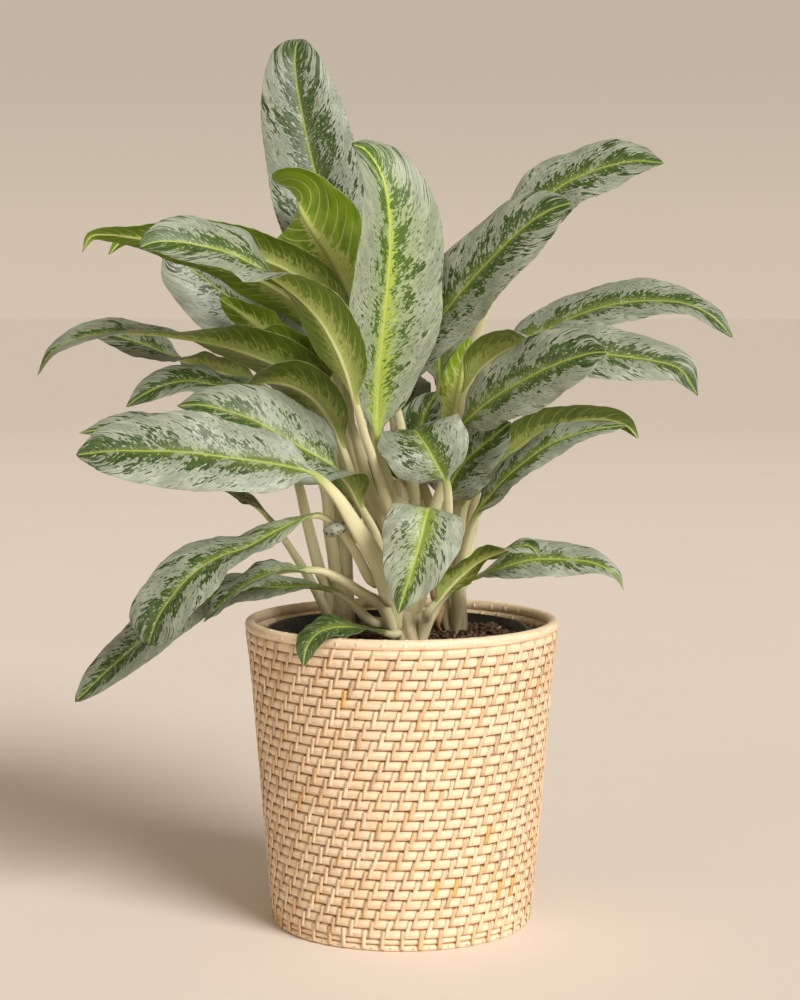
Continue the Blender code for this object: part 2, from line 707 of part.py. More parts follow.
def build_soil(holder):
    foot = FLOOR + SEAT_GAP + POT_WALL + SEAT_GAP
    side_top = SOIL_LEVEL - SOIL_SIDE_DROP
    side_radius = pot_radius(side_top) - POT_WALL - SEAT_GAP
    foot_radius = POT_FOOT_RADIUS - POT_WALL - SEAT_GAP
    top = [(side_radius * part, SOIL_LEVEL) for part in reversed(SOIL_RINGS)]
    profile = [(0.0, foot), (foot_radius, foot), (side_radius, side_top), *top, (0.0, SOIL_LEVEL)]
    shape = turned(profile, SOIL_SIDES)
    for vert in shape.verts:
        if vert.co.z > side_top + 1.0:
            vert.co.z = soil_height(vert.co.x, vert.co.y)
    earth = finish_material("potting_soil", (0.045, 0.026, 0.016), 0.95)
    soil = add_object("soil", shape, earth, holder, (POT_OFFSET_X, 0, 0))
    for name, ((x, y), radius, _, _) in CANES.items():
        reach = radius + SEAT_GAP + HOLE_ROOM
        outline = [(0.0, HOLE_FLOOR), (reach, HOLE_FLOOR), (reach, HOLE_TOP), (0.0, HOLE_TOP)]
        cutter = turned(outline, CANE_SIDES)
        hole = add_object("hole_for_cane_" + name, cutter, earth, holder, (x, y, 0))
        hole.hide_render = True
        hole.display_type = "WIRE"
        cut = soil.modifiers.new("stem hole " + name, "BOOLEAN")
        cut.operation = "DIFFERENCE"
        cut.object = hole


# Canes

def cane_profile(name):
    """A cane's outline as (radius, height), with heights measured from the ground."""
    _, foot_radius, top_radius, length = CANES[name]
    profile = [(foot_radius, HOLE_FLOOR + SEAT_GAP), (foot_radius, SOIL_LEVEL)]
    for step in range(1, CANE_STEPS):
        part = step / CANE_STEPS
        radius = foot_radius + (top_radius - foot_radius) * part
        profile.append((radius, SOIL_LEVEL + length * part))
    profile.append((top_radius - CANE_TOP_TAPER, SOIL_LEVEL + length))
    return profile


def gap_to_cane(name, point):
    """Level distance from a point to the flat sides of a cane, endless above the cane's top."""
    (x, y), _, _, _ = CANES[name]
    radii, heights = zip(*cane_profile(name))
    if point[2] > heights[-1]:
        return math.inf
    radius = np.interp(point[2], heights, radii)
    half_side = math.pi / CANE_SIDES
    bearing = math.atan2(point[1] - y, point[0] - x)
    off_middle = bearing % (2 * half_side) - half_side
    distance = math.hypot(point[0] - x, point[1] - y)
    return distance * math.cos(off_middle) - radius * math.cos(half_side)


def build_canes(holder):
    bark = finish_material("stem_cream", (0.62, 0.58, 0.36), 0.5)
    for name, ((x, y), _, _, _) in CANES.items():
        sides = cane_profile(name)
        profile = [(0.0, sides[0][1]), *sides, (0.0, sides[-1][1])]
        add_object("cane_" + name, turned(profile, CANE_SIDES), bark, holder, (x, y, 0))


# Leaves

def smooth_curve(points, samples=10):
    """Points along a centripetal Catmull-Rom curve through the given points."""
    points = np.array(points, float)
    ends = [2 * points[0] - points[1]], [2 * points[-1] - points[-2]]
    through = np.concatenate([ends[0], points, ends[1]])
    knots = np.concatenate(
        [[0.0], np.cumsum(np.sqrt(np.linalg.norm(np.diff(through, axis=0), axis=1)))]
    )
    curve = []
    for k in range(1, len(through) - 2):
        p0, p1, p2, p3 = through[k - 1 : k + 3]
        t0, t1, t2, t3 = knots[k - 1 : k + 3]
        for t in np.linspace(t1, t2, samples, endpoint=False):
            a1 = (t1 - t) / (t1 - t0) * p0 + (t - t0) / (t1 - t0) * p1
            a2 = (t2 - t) / (t2 - t1) * p1 + (t - t1) / (t2 - t1) * p2
            a3 = (t3 - t) / (t3 - t2) * p2 + (t - t2) / (t3 - t2) * p3
            b1 = (t2 - t) / (t2 - t0) * a1 + (t - t0) / (t2 - t0) * a2
            b2 = (t3 - t) / (t3 - t1) * a2 + (t - t1) / (t3 - t1) * a3
            curve.append((t2 - t) / (t2 - t1) * b1 + (t - t1) / (t2 - t1) * b2)
    curve.append(points[-1])
    return np.array(curve)


class Spine:
    """The line from a petiole's root along the midrib to the tip, with its facing.

    The root starts beside the cane and is drawn in until the petiole lies the seat gap from it.
    """

    def __init__(self, leaf):
        self.faces = leaf.faces
        distance = CANES[leaf.cane][1] + leaf.stalk
        for _ in range(SEATING_TRIES):
            self.lay(leaf, distance)
            rings = petiole_rings(self, leaf)[:SEATING_STEPS]
            sides = [point for ring in rings for point in edge_points(ring)]
            distance -= min(gap_to_cane(leaf.cane, point) for point in sides) - SEAT_GAP

    def lay(self, leaf, distance):
        """Run the line from a root at a distance from the cane's middle."""
        (x, y), _, _, _ = CANES[leaf.cane]
        angle = math.radians(leaf.bearing)
        away = np.array((math.cos(angle), math.sin(angle), 0.0))
        root = np.array((x, y, SOIL_LEVEL + leaf.root_height)) + away * distance
        petiole = [np.array(sighted(*point)) for point in leaf.petiole]
        blade = [np.array(sighted(*point)) for point in leaf.blade]
        step = petiole[0] - root
        lift = np.array((0.0, 0.0, np.linalg.norm(step[:2]) * PETIOLE_LIFT))
        rise = root + step * PETIOLE_LIFT + away * PETIOLE_START + lift
        curve = smooth_curve([root, rise, *petiole, *blade])
        steps = np.linalg.norm(np.diff(curve, axis=0), axis=1)
        self.curve = curve
        self.lengths = np.concatenate([[0.0], np.cumsum(steps)])
        start = np.argmin(np.linalg.norm(curve - blade[0], axis=1))
        self.petiole_length = self.lengths[start]
        self.blade_length = self.lengths[-1] - self.petiole_length

    def point(self, length):
        return np.array([np.interp(length, self.lengths, self.curve[:, k]) for k in range(3)])

    def frame(self, length, place):
        """Tangent, side and upper direction at a length, where place is 0 to 1 along the blade."""
        tangent = self.point(length + FACING_REACH) - self.point(length - FACING_REACH)
        tangent /= np.linalg.norm(tangent)
        places = [key for key, _ in self.faces]
        look = np.array([
            np.interp(place, places, [face[k] for _, face in self.faces]) for k in range(3)
        ])
        upper = look - tangent * np.dot(look, tangent)
        upper /= np.linalg.norm(upper)
        return tangent, np.cross(tangent, upper), upper


def blade_half_width(leaf, place):
    rise = max(place, 1e-6) / leaf.widest
    fall = max(1.0 - place, 1e-6) / (1.0 - leaf.widest)
    spread = (rise**leaf.widest * fall ** (1.0 - leaf.widest)) ** leaf.fullness
    return max(leaf.width / 2 * spread, TIP_HALF_WIDTH)


def blade_lift(leaf, half_width, across, place, phase):
    """Height of the upper skin over the midrib: a shallow fold, turned-down sides and a wavy edge."""
    side = abs(across)
    bend = half_width * (leaf.fold * side - CURL * side**2)
    turn = 2 * math.pi * WAVE_COUNT * place + phase + (WAVE_SIDE_TURN if across < 0 else 0.0)
    wave = WAVE_HEIGHT * side**1.6 * math.sin(turn) * math.sin(math.pi * place) ** 0.5
    return bend + wave


def edge_points(ring):
    """Points spread along the edges of a ring."""
    ends = zip(ring, ring[1:] + ring[:1])
    return [a + (b - a) * step / SEATING_STEPS for a, b in ends for step in range(SEATING_STEPS)]


def petiole_ring(spine, length, radius):
    """Points round the petiole, in the order of a blade ring."""
    _, side, upper = spine.frame(length, 0.0)
    centre = spine.point(length)
    ring = []
    for step in range(LEAF_SIDES):
        angle = math.pi - step * 2 * math.pi / LEAF_SIDES
        ring.append(centre + side * radius * math.cos(angle) + upper * radius * math.sin(angle))
    return ring


def petiole_rings(spine, leaf):
    rings = []
    for part in PETIOLE_STEPS:
        radius = leaf.stalk + (PETIOLE_END_RADIUS - leaf.stalk) * part**PETIOLE_TAPER
        rings.append(petiole_ring(spine, spine.petiole_length * part, radius))
    return rings


def blade_ring(spine, leaf, place, phase):
    """Points round the blade, upper skin then under skin, that grow out of the petiole."""
    length = spine.petiole_length + spine.blade_length * place
    _, side, upper = spine.frame(length, place)
    centre = spine.point(length)
    half_width = blade_half_width(leaf, place)
    rib = RIB_THICKNESS + (BLADE_THICKNESS - RIB_THICKNESS) * place
    ring = []
    for across in UPPER_ACROSS:
        lift = blade_lift(leaf, half_width, across, place, phase)
        ring.append(centre + side * half_width * across + upper * lift)
    for across in LOWER_ACROSS:
        lift = blade_lift(leaf, half_width, across, place, phase)
        thick = rib if across == 0 else BLADE_THICKNESS
        ring.append(centre + side * half_width * across + upper * (lift - thick))
    grown = min(place / BLADE_OPEN, 1.0)
    stalk = petiole_ring(spine, length, PETIOLE_END_RADIUS)
    return [a * (1 - grown) + b * grown for a, b in zip(stalk, ring)]


def leaf_shape(rings):
    """A closed body through the rings, with its two skins split by the same diagonals."""
    shape = bmesh.new()
    ring = bmesh.ops.create_circle(shape, cap_ends=True, segments=LEAF_SIDES, radius=1.0)["verts"]
    for vert, point in zip(ring, rings[0]):
        vert.co = point
    count = len(ring)
    for points in rings[1:]:
        edges = [shape.edges.get((ring[k], ring[(k + 1) % count])) for k in range(count)]
        made = bmesh.ops.extrude_edge_only(shape, edges=edges)["geom"]
        fresh = {item for item in made if isinstance(item, bmesh.types.BMVert)}
        following = []
        for vert in ring:
            partner = next(e.other_vert(vert) for e in vert.link_edges if e.other_vert(vert) in fresh)
            following.append(partner)
        for vert, point in zip(following, points):
            vert.co = point
        for k in range(count):
            nearer, farther = ring[k], ring[(k + 1) % count]
            ahead, ahead_next = following[k], following[(k + 1) % count]
            corners = {nearer, farther, ahead, ahead_next}
            face = next(f for f in nearer.link_faces if set(f.verts) == corners)
            if k < count // 2:
                bmesh.utils.face_split(face, nearer, ahead_next)
            else:
                bmesh.utils.face_split(face, farther, ahead)
        ring = following
    shape.faces.new(ring)
    return shape


def leaf_object(holder, order, finish, leaf):
    spine = Spine(leaf)
    phase = order * WAVE_TURN
    rings = petiole_rings(spine, leaf)
    rings += [blade_ring(spine, leaf, place, phase) for place in BLADE_STEPS]
    root = spine.point(0.0)
    local = [[point - root for point in ring] for ring in rings]
    return add_object("leaf_" + leaf.name, leaf_shape(local), finish, holder, root)


def build_leaves(holder):
    green = finish_material("leaf_green", (0.16, 0.25, 0.13), 0.42)
    for order, leaf in enumerate(LEAVES):
        leaf_object(holder, order, green, leaf)


clear_scene()
scene_root = bpy.data.objects.new("potted_evergreen", None)
bpy.context.scene.collection.objects.link(scene_root)
build_basket(scene_root)
build_pot(scene_root)
build_soil(scene_root)
build_canes(scene_root)
build_leaves(scene_root)
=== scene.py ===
import math
import random
from dataclasses import dataclass

import bmesh
import bpy
import numpy as np
from mathutils import Matrix, Vector, noise


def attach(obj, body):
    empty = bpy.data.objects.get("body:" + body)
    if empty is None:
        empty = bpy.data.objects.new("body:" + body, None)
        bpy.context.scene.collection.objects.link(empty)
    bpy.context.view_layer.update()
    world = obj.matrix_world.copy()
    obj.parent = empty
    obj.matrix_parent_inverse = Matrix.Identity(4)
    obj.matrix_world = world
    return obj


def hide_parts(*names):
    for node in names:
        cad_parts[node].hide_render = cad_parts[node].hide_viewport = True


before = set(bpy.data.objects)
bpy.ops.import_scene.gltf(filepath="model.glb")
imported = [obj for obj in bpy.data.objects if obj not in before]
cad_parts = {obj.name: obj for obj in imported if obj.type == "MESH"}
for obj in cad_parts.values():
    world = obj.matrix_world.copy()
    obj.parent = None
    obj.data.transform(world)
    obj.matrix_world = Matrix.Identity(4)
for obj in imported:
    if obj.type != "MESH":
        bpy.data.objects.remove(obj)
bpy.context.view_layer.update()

# View
# The camera stands 1.66 m in front of the basket's axis, level with the leaves' middle, and looks
# a little down. Leaves are sighted by the columns and rows of its 800 by 1000 picture.

MM = 0.001
VIEW_MIDDLE = (400, 500)
VIEW_HEIGHT = 1000
VIEW_DISTANCE = 2240.0
VIEW_TILT = math.radians(5.06)
EYE = (-1.3, -1661.0, 462.7)

camera_data = bpy.data.cameras.new("view")
camera_data.sensor_fit = "VERTICAL"
camera_data.sensor_height = 36.0
camera_data.lens = camera_data.sensor_height * VIEW_DISTANCE / VIEW_HEIGHT
camera = bpy.data.objects.new("view", camera_data)
camera.location = Vector(EYE) * MM
camera.rotation_euler = (math.pi / 2 - VIEW_TILT, 0.0, 0.0)
bpy.context.collection.objects.link(camera)
bpy.context.scene.camera = camera
bpy.context.scene.view_settings.view_transform = "Standard"


def sighted(column, row, depth):
    """The place in millimetres that a column and a row of the picture show at a depth."""
    across = (column - VIEW_MIDDLE[0]) / VIEW_DISTANCE
    above = (VIEW_MIDDLE[1] - row) / VIEW_DISTANCE
    forward = math.cos(VIEW_TILT) + above * math.sin(VIEW_TILT)
    upward = above * math.cos(VIEW_TILT) - math.sin(VIEW_TILT)
    reach = (depth - EYE[1]) / forward
    return (EYE[0] + across * reach, depth, EYE[2] + upward * reach)


# Floor and light
# A wide pale floor that runs into an even warm sky. Far off, the floor's colour is painted darker
# as shade, so that it meets the sky without a seam. The key light is a broad soft sun, high at the
# right and in front, and one large weak lamp fills the left.

FLOOR_COLOR = (0.81, 0.735, 0.665)
FLOOR_FAR_SHADE = (0.69, 0.625, 0.552)
FLOOR_MOTTLE = 1.05
FLOOR_NEAR_FAR = (0.5, 9.0)
FLOOR_RADIUS = 60000.0
SKY_LEVEL = (0.655, 0.545, 0.43)
SKY_OVER = (0.55, 0.465, 0.375)
SKY_HIGH = (0.32, 0.262, 0.20)
SKY_OVER_RISE = (0.0, 0.11)
SKY_HIGH_RISE = (0.13, 0.30)
SUN_PLACE = Vector((1150, -1450, 1500))
SUN_STRENGTH = 3.52
SUN_SPREAD = math.radians(30)
SUN_COLOR = (1.0, 0.97, 0.925)
FILL_PLACE = Vector((-1500, -1700, 900))
FILL_SIZE = 1200
FILL_POWER = 4.0
FILL_COLOR = (1.0, 0.97, 0.93)
LAMP_AIM = Vector((0, 0, 330))


class Graph:
    """Shader nodes of one tree. Each call adds a node and gives its output."""

    def __init__(self, tree):
        self.tree = tree

    def feed(self, socket, value):
        if isinstance(value, bpy.types.NodeSocket):
            self.tree.links.new(value, socket)
        else:
            socket.default_value = (*value, 1.0) if socket.type == "RGBA" else value

    def add(self, kind, values=(), out=0, **settings):
        """A node of a kind, with values fed to its inputs in order or by name."""
        made = self.tree.nodes.new("ShaderNode" + kind)
        for key, setting in settings.items():
            setattr(made, key, setting)
        for name, value in values.items() if isinstance(values, dict) else enumerate(values):
            self.feed(made.inputs[name], value)
        return made.outputs[out]

    def place(self):
        """The place on the object, in metres."""
        return self.add("TexCoord", out="Object")

    def attribute(self, name, out="Vector"):
        return self.add("Attribute", out=out, attribute_name=name)

    def parts(self, vector):
        return self.add("SeparateXYZ", (vector,)).node.outputs

    def vector(self, *parts):
        """A vector of three parts. A part given with a scale is multiplied by it."""
        parts = [self.times(*part) if isinstance(part, tuple) else part for part in parts]
        return self.add("CombineXYZ", parts)

    def math(self, operation, *values):
        return self.add("Math", values, operation=operation)

    def times(self, first, second):
        return self.math("MULTIPLY", first, second)

    def line(self, value, slope, base):
        """The value times a slope, and a base added."""
        return self.math("MULTIPLY_ADD", value, slope, base)

    def sway(self, value, width, base):
        """A noise, which lies round a half, widened and moved to lie round a base."""
        return self.line(self.math("SUBTRACT", value, 0.5), width, base)

    def ramp(self, value, start, end, low=0.0, high=1.0):
        """A soft step from low to high as the value goes from start to end."""
        ends = (value, start, end, low, high)
        return self.add("MapRange", ends, interpolation_type="SMOOTHSTEP")

    def mix(self, share, first, second, blend="MIX"):
        values = {"Factor": share, "A": first, "B": second}
        return self.add("Mix", values, "Result", data_type="RGBA", blend_type=blend)

    def noise(self, place, scale=1.0, detail=2.0, roughness=0.5):
        values = {"Vector": place, "Scale": scale, "Detail": detail, "Roughness": roughness}
        return self.add("TexNoise", values, "Fac")

    def bump(self, height, distance, strength):
        values = {"Height": height, "Distance": distance, "Strength": strength}
        return self.add("Bump", values, "Normal")

    def group(self, tree, values):
        """A node group placed with its own values. Gives all its outputs."""
        return self.add("Group", values, node_tree=tree).node.outputs


def new_group(name, takes, gives):
    """A node group with inputs and outputs of the given kinds, its graph and both ends."""
    tree = bpy.data.node_groups.new(name, "ShaderNodeTree")
    for side, sockets in (("INPUT", takes), ("OUTPUT", gives)):
        for socket, kind in sockets.items():
            tree.interface.new_socket(name=socket, in_out=side, socket_type="NodeSocket" + kind)
    ends = tree.nodes.new("NodeGroupInput").outputs, tree.nodes.new("NodeGroupOutput").inputs
    return tree, Graph(tree), *ends


def new_finish(name, roughness, color=(0.5, 0.5, 0.5)):
    """A material with a Principled shader, its graph and the shader's inputs."""
    made = bpy.data.materials.new(name)
    made.use_nodes = True
    graph = Graph(made.node_tree)
    inputs = made.node_tree.nodes["Principled BSDF"].inputs
    graph.feed(inputs["Base Color"], color)
    graph.feed(inputs["Roughness"], roughness)
    return made, graph, inputs


def add_piece(name, shape, *finishes):
    """An object at the origin from a bmesh in millimetres, shaded smooth."""
    bmesh.ops.scale(shape, vec=(MM, MM, MM), verts=shape.verts)
    mesh = bpy.data.meshes.new(name)
    shape.to_mesh(mesh)
    shape.free()
    for finish in finishes:
        mesh.materials.append(finish)
    mesh.shade_smooth()
    made = bpy.data.objects.new(name, mesh)
    bpy.context.collection.objects.link(made)
    return made


floor_paint, graph, inputs = new_finish("floor_paint", roughness=0.75)
place = graph.place()
mottled = tuple(channel * FLOOR_MOTTLE for channel in FLOOR_COLOR)
paint = graph.mix(graph.noise(place, 3.0, 3.0), FLOOR_COLOR, mottled)
away = graph.add("VectorMath", (place,), "Value", operation="LENGTH")
# Painted shade: the floor's colour darkens with distance from the basket, so far off it meets the
# sky.
paint = graph.mix(graph.ramp(away, *FLOOR_NEAR_FAR), paint, FLOOR_FAR_SHADE)
graph.feed(inputs["Base Color"], paint)
shape = bmesh.new()
bmesh.ops.create_circle(shape, cap_ends=True, segments=96, radius=FLOOR_RADIUS)
floor = add_piece("floor", shape, floor_paint)

sky = bpy.data.worlds.new("studio")
sky.use_nodes = True
graph = Graph(sky.node_tree)
rise = graph.parts(graph.add("TexCoord", out="Generated"))[2]
low = graph.mix(graph.ramp(rise, *SKY_OVER_RISE), SKY_LEVEL, SKY_OVER)
high = graph.mix(graph.ramp(rise, *SKY_HIGH_RISE), low, SKY_HIGH)
graph.feed(sky.node_tree.nodes["Background"].inputs["Color"], high)
bpy.context.scene.world = sky

sun_data = bpy.data.lights.new("key_sun", "SUN")
sun_data.energy = SUN_STRENGTH
sun_data.angle = SUN_SPREAD
sun_data.color = SUN_COLOR
fill_data = bpy.data.lights.new("fill_lamp", "AREA")
fill_data.size = FILL_SIZE * MM
fill_data.energy = FILL_POWER
fill_data.color = FILL_COLOR
for lamp_data, place in ((sun_data, SUN_PLACE), (fill_data, FILL_PLACE)):
    lamp = bpy.data.objects.new(lamp_data.name, lamp_data)
    lamp.location = place * MM
    lamp.rotation_euler = (place - LAMP_AIM).to_track_quat("Z", "Y").to_euler()
    bpy.context.collection.objects.link(lamp)

# Basket: coils
# Rows of round rattan core are laid on each other up to a plain rim coil. Packed tight, they touch
# along thin gaps, and each row swells out a little between the strips that bind it. The cores'
# colour is painted darker towards the gaps and dark brown in them, as shade.

BASKET_HEIGHT = 227.6
FOOT_RADIUS = 97.3
WALL_SLOPE = 0.0813
FLARE_START = 170.0
FLARE = 1.8
ROWS = 29
FOOT_ROWS_HEIGHT = 9.0
RIM_COIL_RADIUS = 3.9
RIM_COIL_SINK = 0.8
CORE_SIDES = 12
CORE_SQUARENESS = 0.82
CORE_OVERLAP = 0.05
CORE_PINCH = 0.35
STITCHES = 44
STITCH_STEP = -0.35
ROW_WANDER = 0.30
WANDER_PLACE = (6.0, 3.1)
COIL_STEPS = STITCHES * 5
COIL_TOP = BASKET_HEIGHT - RIM_COIL_RADIUS
ROWS_TOP = COIL_TOP - RIM_COIL_RADIUS * RIM_COIL_SINK
PITCH = (ROWS_TOP - FOOT_ROWS_HEIGHT) / ROWS
CORE_RADIUS = PITCH / 2 + CORE_OVERLAP
MEAN_RADIUS = 110.0
CANE_LIGHT = (0.93, 0.765, 0.56)
CANE_TAN = (0.73, 0.50, 0.28)
CANE_GAP_SHADE = (0.27, 0.13, 0.052)


def wall_radius(height):
    """Outer radius of the basket's wall at a height, over the crests of the coils."""
    flare = max(0.0, height - FLARE_START) / (BASKET_HEIGHT - FLARE_START)
    return FOOT_RADIUS + WALL_SLOPE * height + FLARE * flare**2


def spin_round(shape, outline, steps):
    """Spin an outline of points and edges once round the upright axis."""
    turn = {"cent": (0, 0, 0), "axis": (0, 0, 1), "angle": 2 * math.pi, "steps": steps}
    bmesh.ops.spin(shape, geom=outline, use_merge=True, **turn)


def lay_coil(shape, radius, height, thickness, flatness=1.0):
    """One closed coil, spun from a round section and joined to the shape."""
    coil = bmesh.new()
    ring = bmesh.ops.create_circle(coil, segments=CORE_SIDES, radius=1.0)["verts"]
    for vert in ring:
        out, up = (math.copysign(abs(part) ** CORE_SQUARENESS, part) for part in vert.co[:2])
        vert.co = (radius + out * thickness * flatness, 0.0, height + up * thickness)
    spin_round(coil, ring + coil.edges[:], COIL_STEPS)
    coil_mesh = bpy.data.meshes.new("coil")
    coil.to_mesh(coil_mesh)
    coil.free()
    shape.from_mesh(coil_mesh)
    bpy.data.meshes.remove(coil_mesh)


GRAIN_TAKES = {
    "Place": "Vector", "Stretch": "Vector",
    "Detail": "Float", "Roughness": "Float", "Depth": "Float", "Strength": "Float",
}
GRAIN_GIVES = {"Fibre": "Float", "Normal": "Vector"}
fibre_grain, graph, takes, gives = new_group("fibre_grain", GRAIN_TAKES, GRAIN_GIVES)
place = graph.add("VectorMath", (takes["Place"], takes["Stretch"]), operation="MULTIPLY")
fibre = graph.noise(place, 1.0, takes["Detail"], takes["Roughness"])
graph.feed(gives["Fibre"], fibre)
graph.feed(gives["Normal"], graph.bump(fibre, takes["Depth"], takes["Strength"]))

rattan_core, graph, inputs = new_finish("rattan_core", roughness=0.38)
x, y, z = graph.parts(graph.place())
along = graph.times(graph.math("ARCTAN2", y, x), MEAN_RADIUS)
height = graph.times(z, 1000.0)
grain = graph.group(fibre_grain, {
    "Place": graph.vector(along, height, 0.0), "Stretch": (0.035, 2.6, 1.0),
    "Detail": 4.0, "Roughness": 0.62, "Depth": 0.0005, "Strength": 0.6,
})
stain = graph.noise(graph.vector((along, 0.09), (height, 0.14), 4.0), detail=3.0)
depth = graph.parts(graph.attribute("cane_gap_shade"))[0]
cane = graph.mix(graph.ramp(grain["Fibre"], 0.30, 0.60), CANE_TAN, CANE_LIGHT)
cane = graph.mix(graph.ramp(stain, 0.28, 0.50), graph.mix(0.5, cane, CANE_TAN), cane)
# Painted shade: the cane darkens towards each row's upper and lower edges, and goes dark brown in
# the gaps.
cane = graph.mix(graph.ramp(depth, 0.0, 0.5), cane, graph.mix(0.45, cane, CANE_TAN))
cane = graph.mix(graph.ramp(depth, 0.50, 1.0), cane, CANE_GAP_SHADE)
graph.feed(inputs["Base Color"], cane)
graph.feed(inputs["Normal"], grain["Normal"])

shape = bmesh.new()
for row in range(ROWS):
    height = FOOT_ROWS_HEIGHT + (row + 0.5) * PITCH
    lay_coil(shape, wall_radius(height) - CORE_RADIUS, height, CORE_RADIUS)
gap_shade_layer = shape.verts.layers.float_vector.new("cane_gap_shade")
for vert in shape.verts:
    radius = math.hypot(vert.co.x, vert.co.y)
    turn = math.atan2(vert.co.y, vert.co.x)
    row = min(int((vert.co.z - FOOT_ROWS_HEIGHT) / PITCH), ROWS - 1)
    middle = FOOT_ROWS_HEIGHT + (row + 0.5) * PITCH
    outward = (radius - wall_radius(middle) + CORE_RADIUS) / CORE_RADIUS
    beat = 2 * math.pi * (turn * STITCHES / (2 * math.pi) + (row + 0.5) * STITCH_STEP)
    swell = CORE_PINCH * math.cos(beat + math.pi) * max(outward, 0.0)
    wander_place = Vector((turn * WANDER_PLACE[0], row * WANDER_PLACE[1], 0.0))
    side = (vert.co.z - middle) / CORE_RADIUS
    scale = (radius + swell) / radius
    vert.co.x *= scale
    vert.co.y *= scale
    vert.co.z = middle + side * CORE_RADIUS + ROW_WANDER * noise.noise(wander_place)
    # How near the vertex lies to the gap between rows, which the core finish paints as shade.
    vert[gap_shade_layer] = (min(abs(side), 1.0) ** 4, 0.0, 0.0)
lay_coil(shape, wall_radius(COIL_TOP) - RIM_COIL_RADIUS, COIL_TOP, RIM_COIL_RADIUS)
bmesh.ops.recalc_face_normals(shape, faces=shape.faces)
basket_coils = add_piece("basket_coils", shape, rattan_core)
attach(basket_coils, "root")
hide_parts("basket")

# Basket: binding strips
# Flat split strips bind each row to the one below it. Each strip slants over two rows and dips
# into the gaps above and below, and neighbouring rows stand in a running zigzag. The same strips
# wrap the rim coil, and show on the inside of the top rows.

STRIP_WIDTH = 3.1
STRIP_THICKNESS = 0.9
STRIP_SLANT = 3.7
STRIP_CUTS = 8
STRIP_PROUD = 0.50
STRIP_WAIST = 0.45
STRIP_TUCK = 2.4
STRIP_TUCK_SHARE = 0.09
STRIP_TONES = (
    (0.83, 0.61, 0.38),
    (0.76, 0.51, 0.28),
    (0.90, 0.71, 0.48),
    (0.62, 0.42, 0.27),
    (0.80, 0.45, 0.15),
)
STRIP_ODDS = (0.46, 0.25, 0.235, 0.04, 0.015)
STRIP_LIGHTS = (0.90, 1.08)
STRIP_WIDTHS = (0.85, 1.15)
STRIP_LEAN = 1.1
STRIP_DRIFT = 1.4
RIM_WRAP_START = -62.0
RIM_WRAP_END = 225.0
RIM_WRAP_PROUD = 0.10
RIM_WRAP_SLANT = 1.6
INNER_ROWS = 5
FOOT_STRIP_START = 0.6
FOOT_STRIP_PROUD = 0.35
FOOT_STRIP_TUCK = 1.6
FOOT_STRIP_SLANT = STRIP_SLANT * 0.35


def strip_depth(part):
    """How far a strip lies out from the coils' crests along its way over two rows."""
    bulge = abs(math.sin(2 * math.pi * part))
    ends = min(part, 1.0 - part) / STRIP_TUCK_SHARE
    waist = STRIP_WAIST * (1.0 - bulge) ** 2
    return STRIP_PROUD - waist - STRIP_TUCK * max(0.0, 1.0 - ends) ** 1.5


def over_rows(row, part):
    """Radius and height of a strip's middle, part of its way up the outside of two rows."""
    height = FOOT_ROWS_HEIGHT + (row - 1 + 2 * part) * PITCH
    return wall_radius(height) + strip_depth(part), height


def inside_rows(row, part):
    """The same on the inside of the wall."""
    height = FOOT_ROWS_HEIGHT + (row - 1 + 2 * part) * PITCH
    return wall_radius(height) - 2 * CORE_RADIUS - strip_depth(part), height


def over_rim(row, part):
    """The same round the rim coil, from its outer foot over the top to its inner foot."""
    angle = math.radians(RIM_WRAP_START + (RIM_WRAP_END - RIM_WRAP_START) * part)
    reach = RIM_COIL_RADIUS + RIM_WRAP_PROUD
    middle = wall_radius(COIL_TOP) - RIM_COIL_RADIUS
    return middle + reach * math.cos(angle), COIL_TOP + reach * math.sin(angle)


def over_foot(row, part):
    """The same over the two flat foot cores, down to the ground."""
    height = FOOT_STRIP_START + (FOOT_ROWS_HEIGHT + PITCH - FOOT_STRIP_START) * part
    ends = max(0.0, 1.0 - part / 0.06) + max(0.0, (part - 0.92) / 0.08)
    return wall_radius(height) + FOOT_STRIP_PROUD - FOOT_STRIP_TUCK * ends, height


strip_cane, graph, inputs = new_finish("strip_cane", roughness=0.40)
tone = graph.parts(graph.attribute("strip_tone"))[0]
across, along, side = graph.parts(graph.attribute("strip_place"))
grain = graph.group(fibre_grain, {
    "Place": graph.vector(across, along, tone), "Stretch": (6.0, 1.2, 1.0),
    "Detail": 3.0, "Roughness": 0.6, "Depth": 0.0004, "Strength": 0.5,
})
shade = graph.mix(graph.ramp(grain["Fibre"], 0.3, 0.7), (0.84, 0.84, 0.84), (1.12, 1.12, 1.12))
cane = graph.mix(1.0, graph.attribute("strip_color", "Color"), shade, "MULTIPLY")
# Painted shade: each strip's two long edges are darkened half way to the dark brown of the gaps.
edge = graph.ramp(graph.math("ABSOLUTE", side), 0.78, 1.0, 0.0, 0.5)
graph.feed(inputs["Base Color"], graph.mix(edge, cane, CANE_GAP_SHADE))
graph.feed(inputs["Normal"], grain["Normal"])

template = bmesh.new()
bmesh.ops.create_cube(template, size=1.0)
upright = [edge for edge in template.edges if edge.verts[0].co.z * edge.verts[1].co.z < 0]
bmesh.ops.subdivide_edges(template, edges=upright, cuts=STRIP_CUTS, use_grid_fill=True)
strip_mesh = bpy.data.meshes.new("strip_template")
template.to_mesh(strip_mesh)
template.free()
strip_verts = len(strip_mesh.vertices)

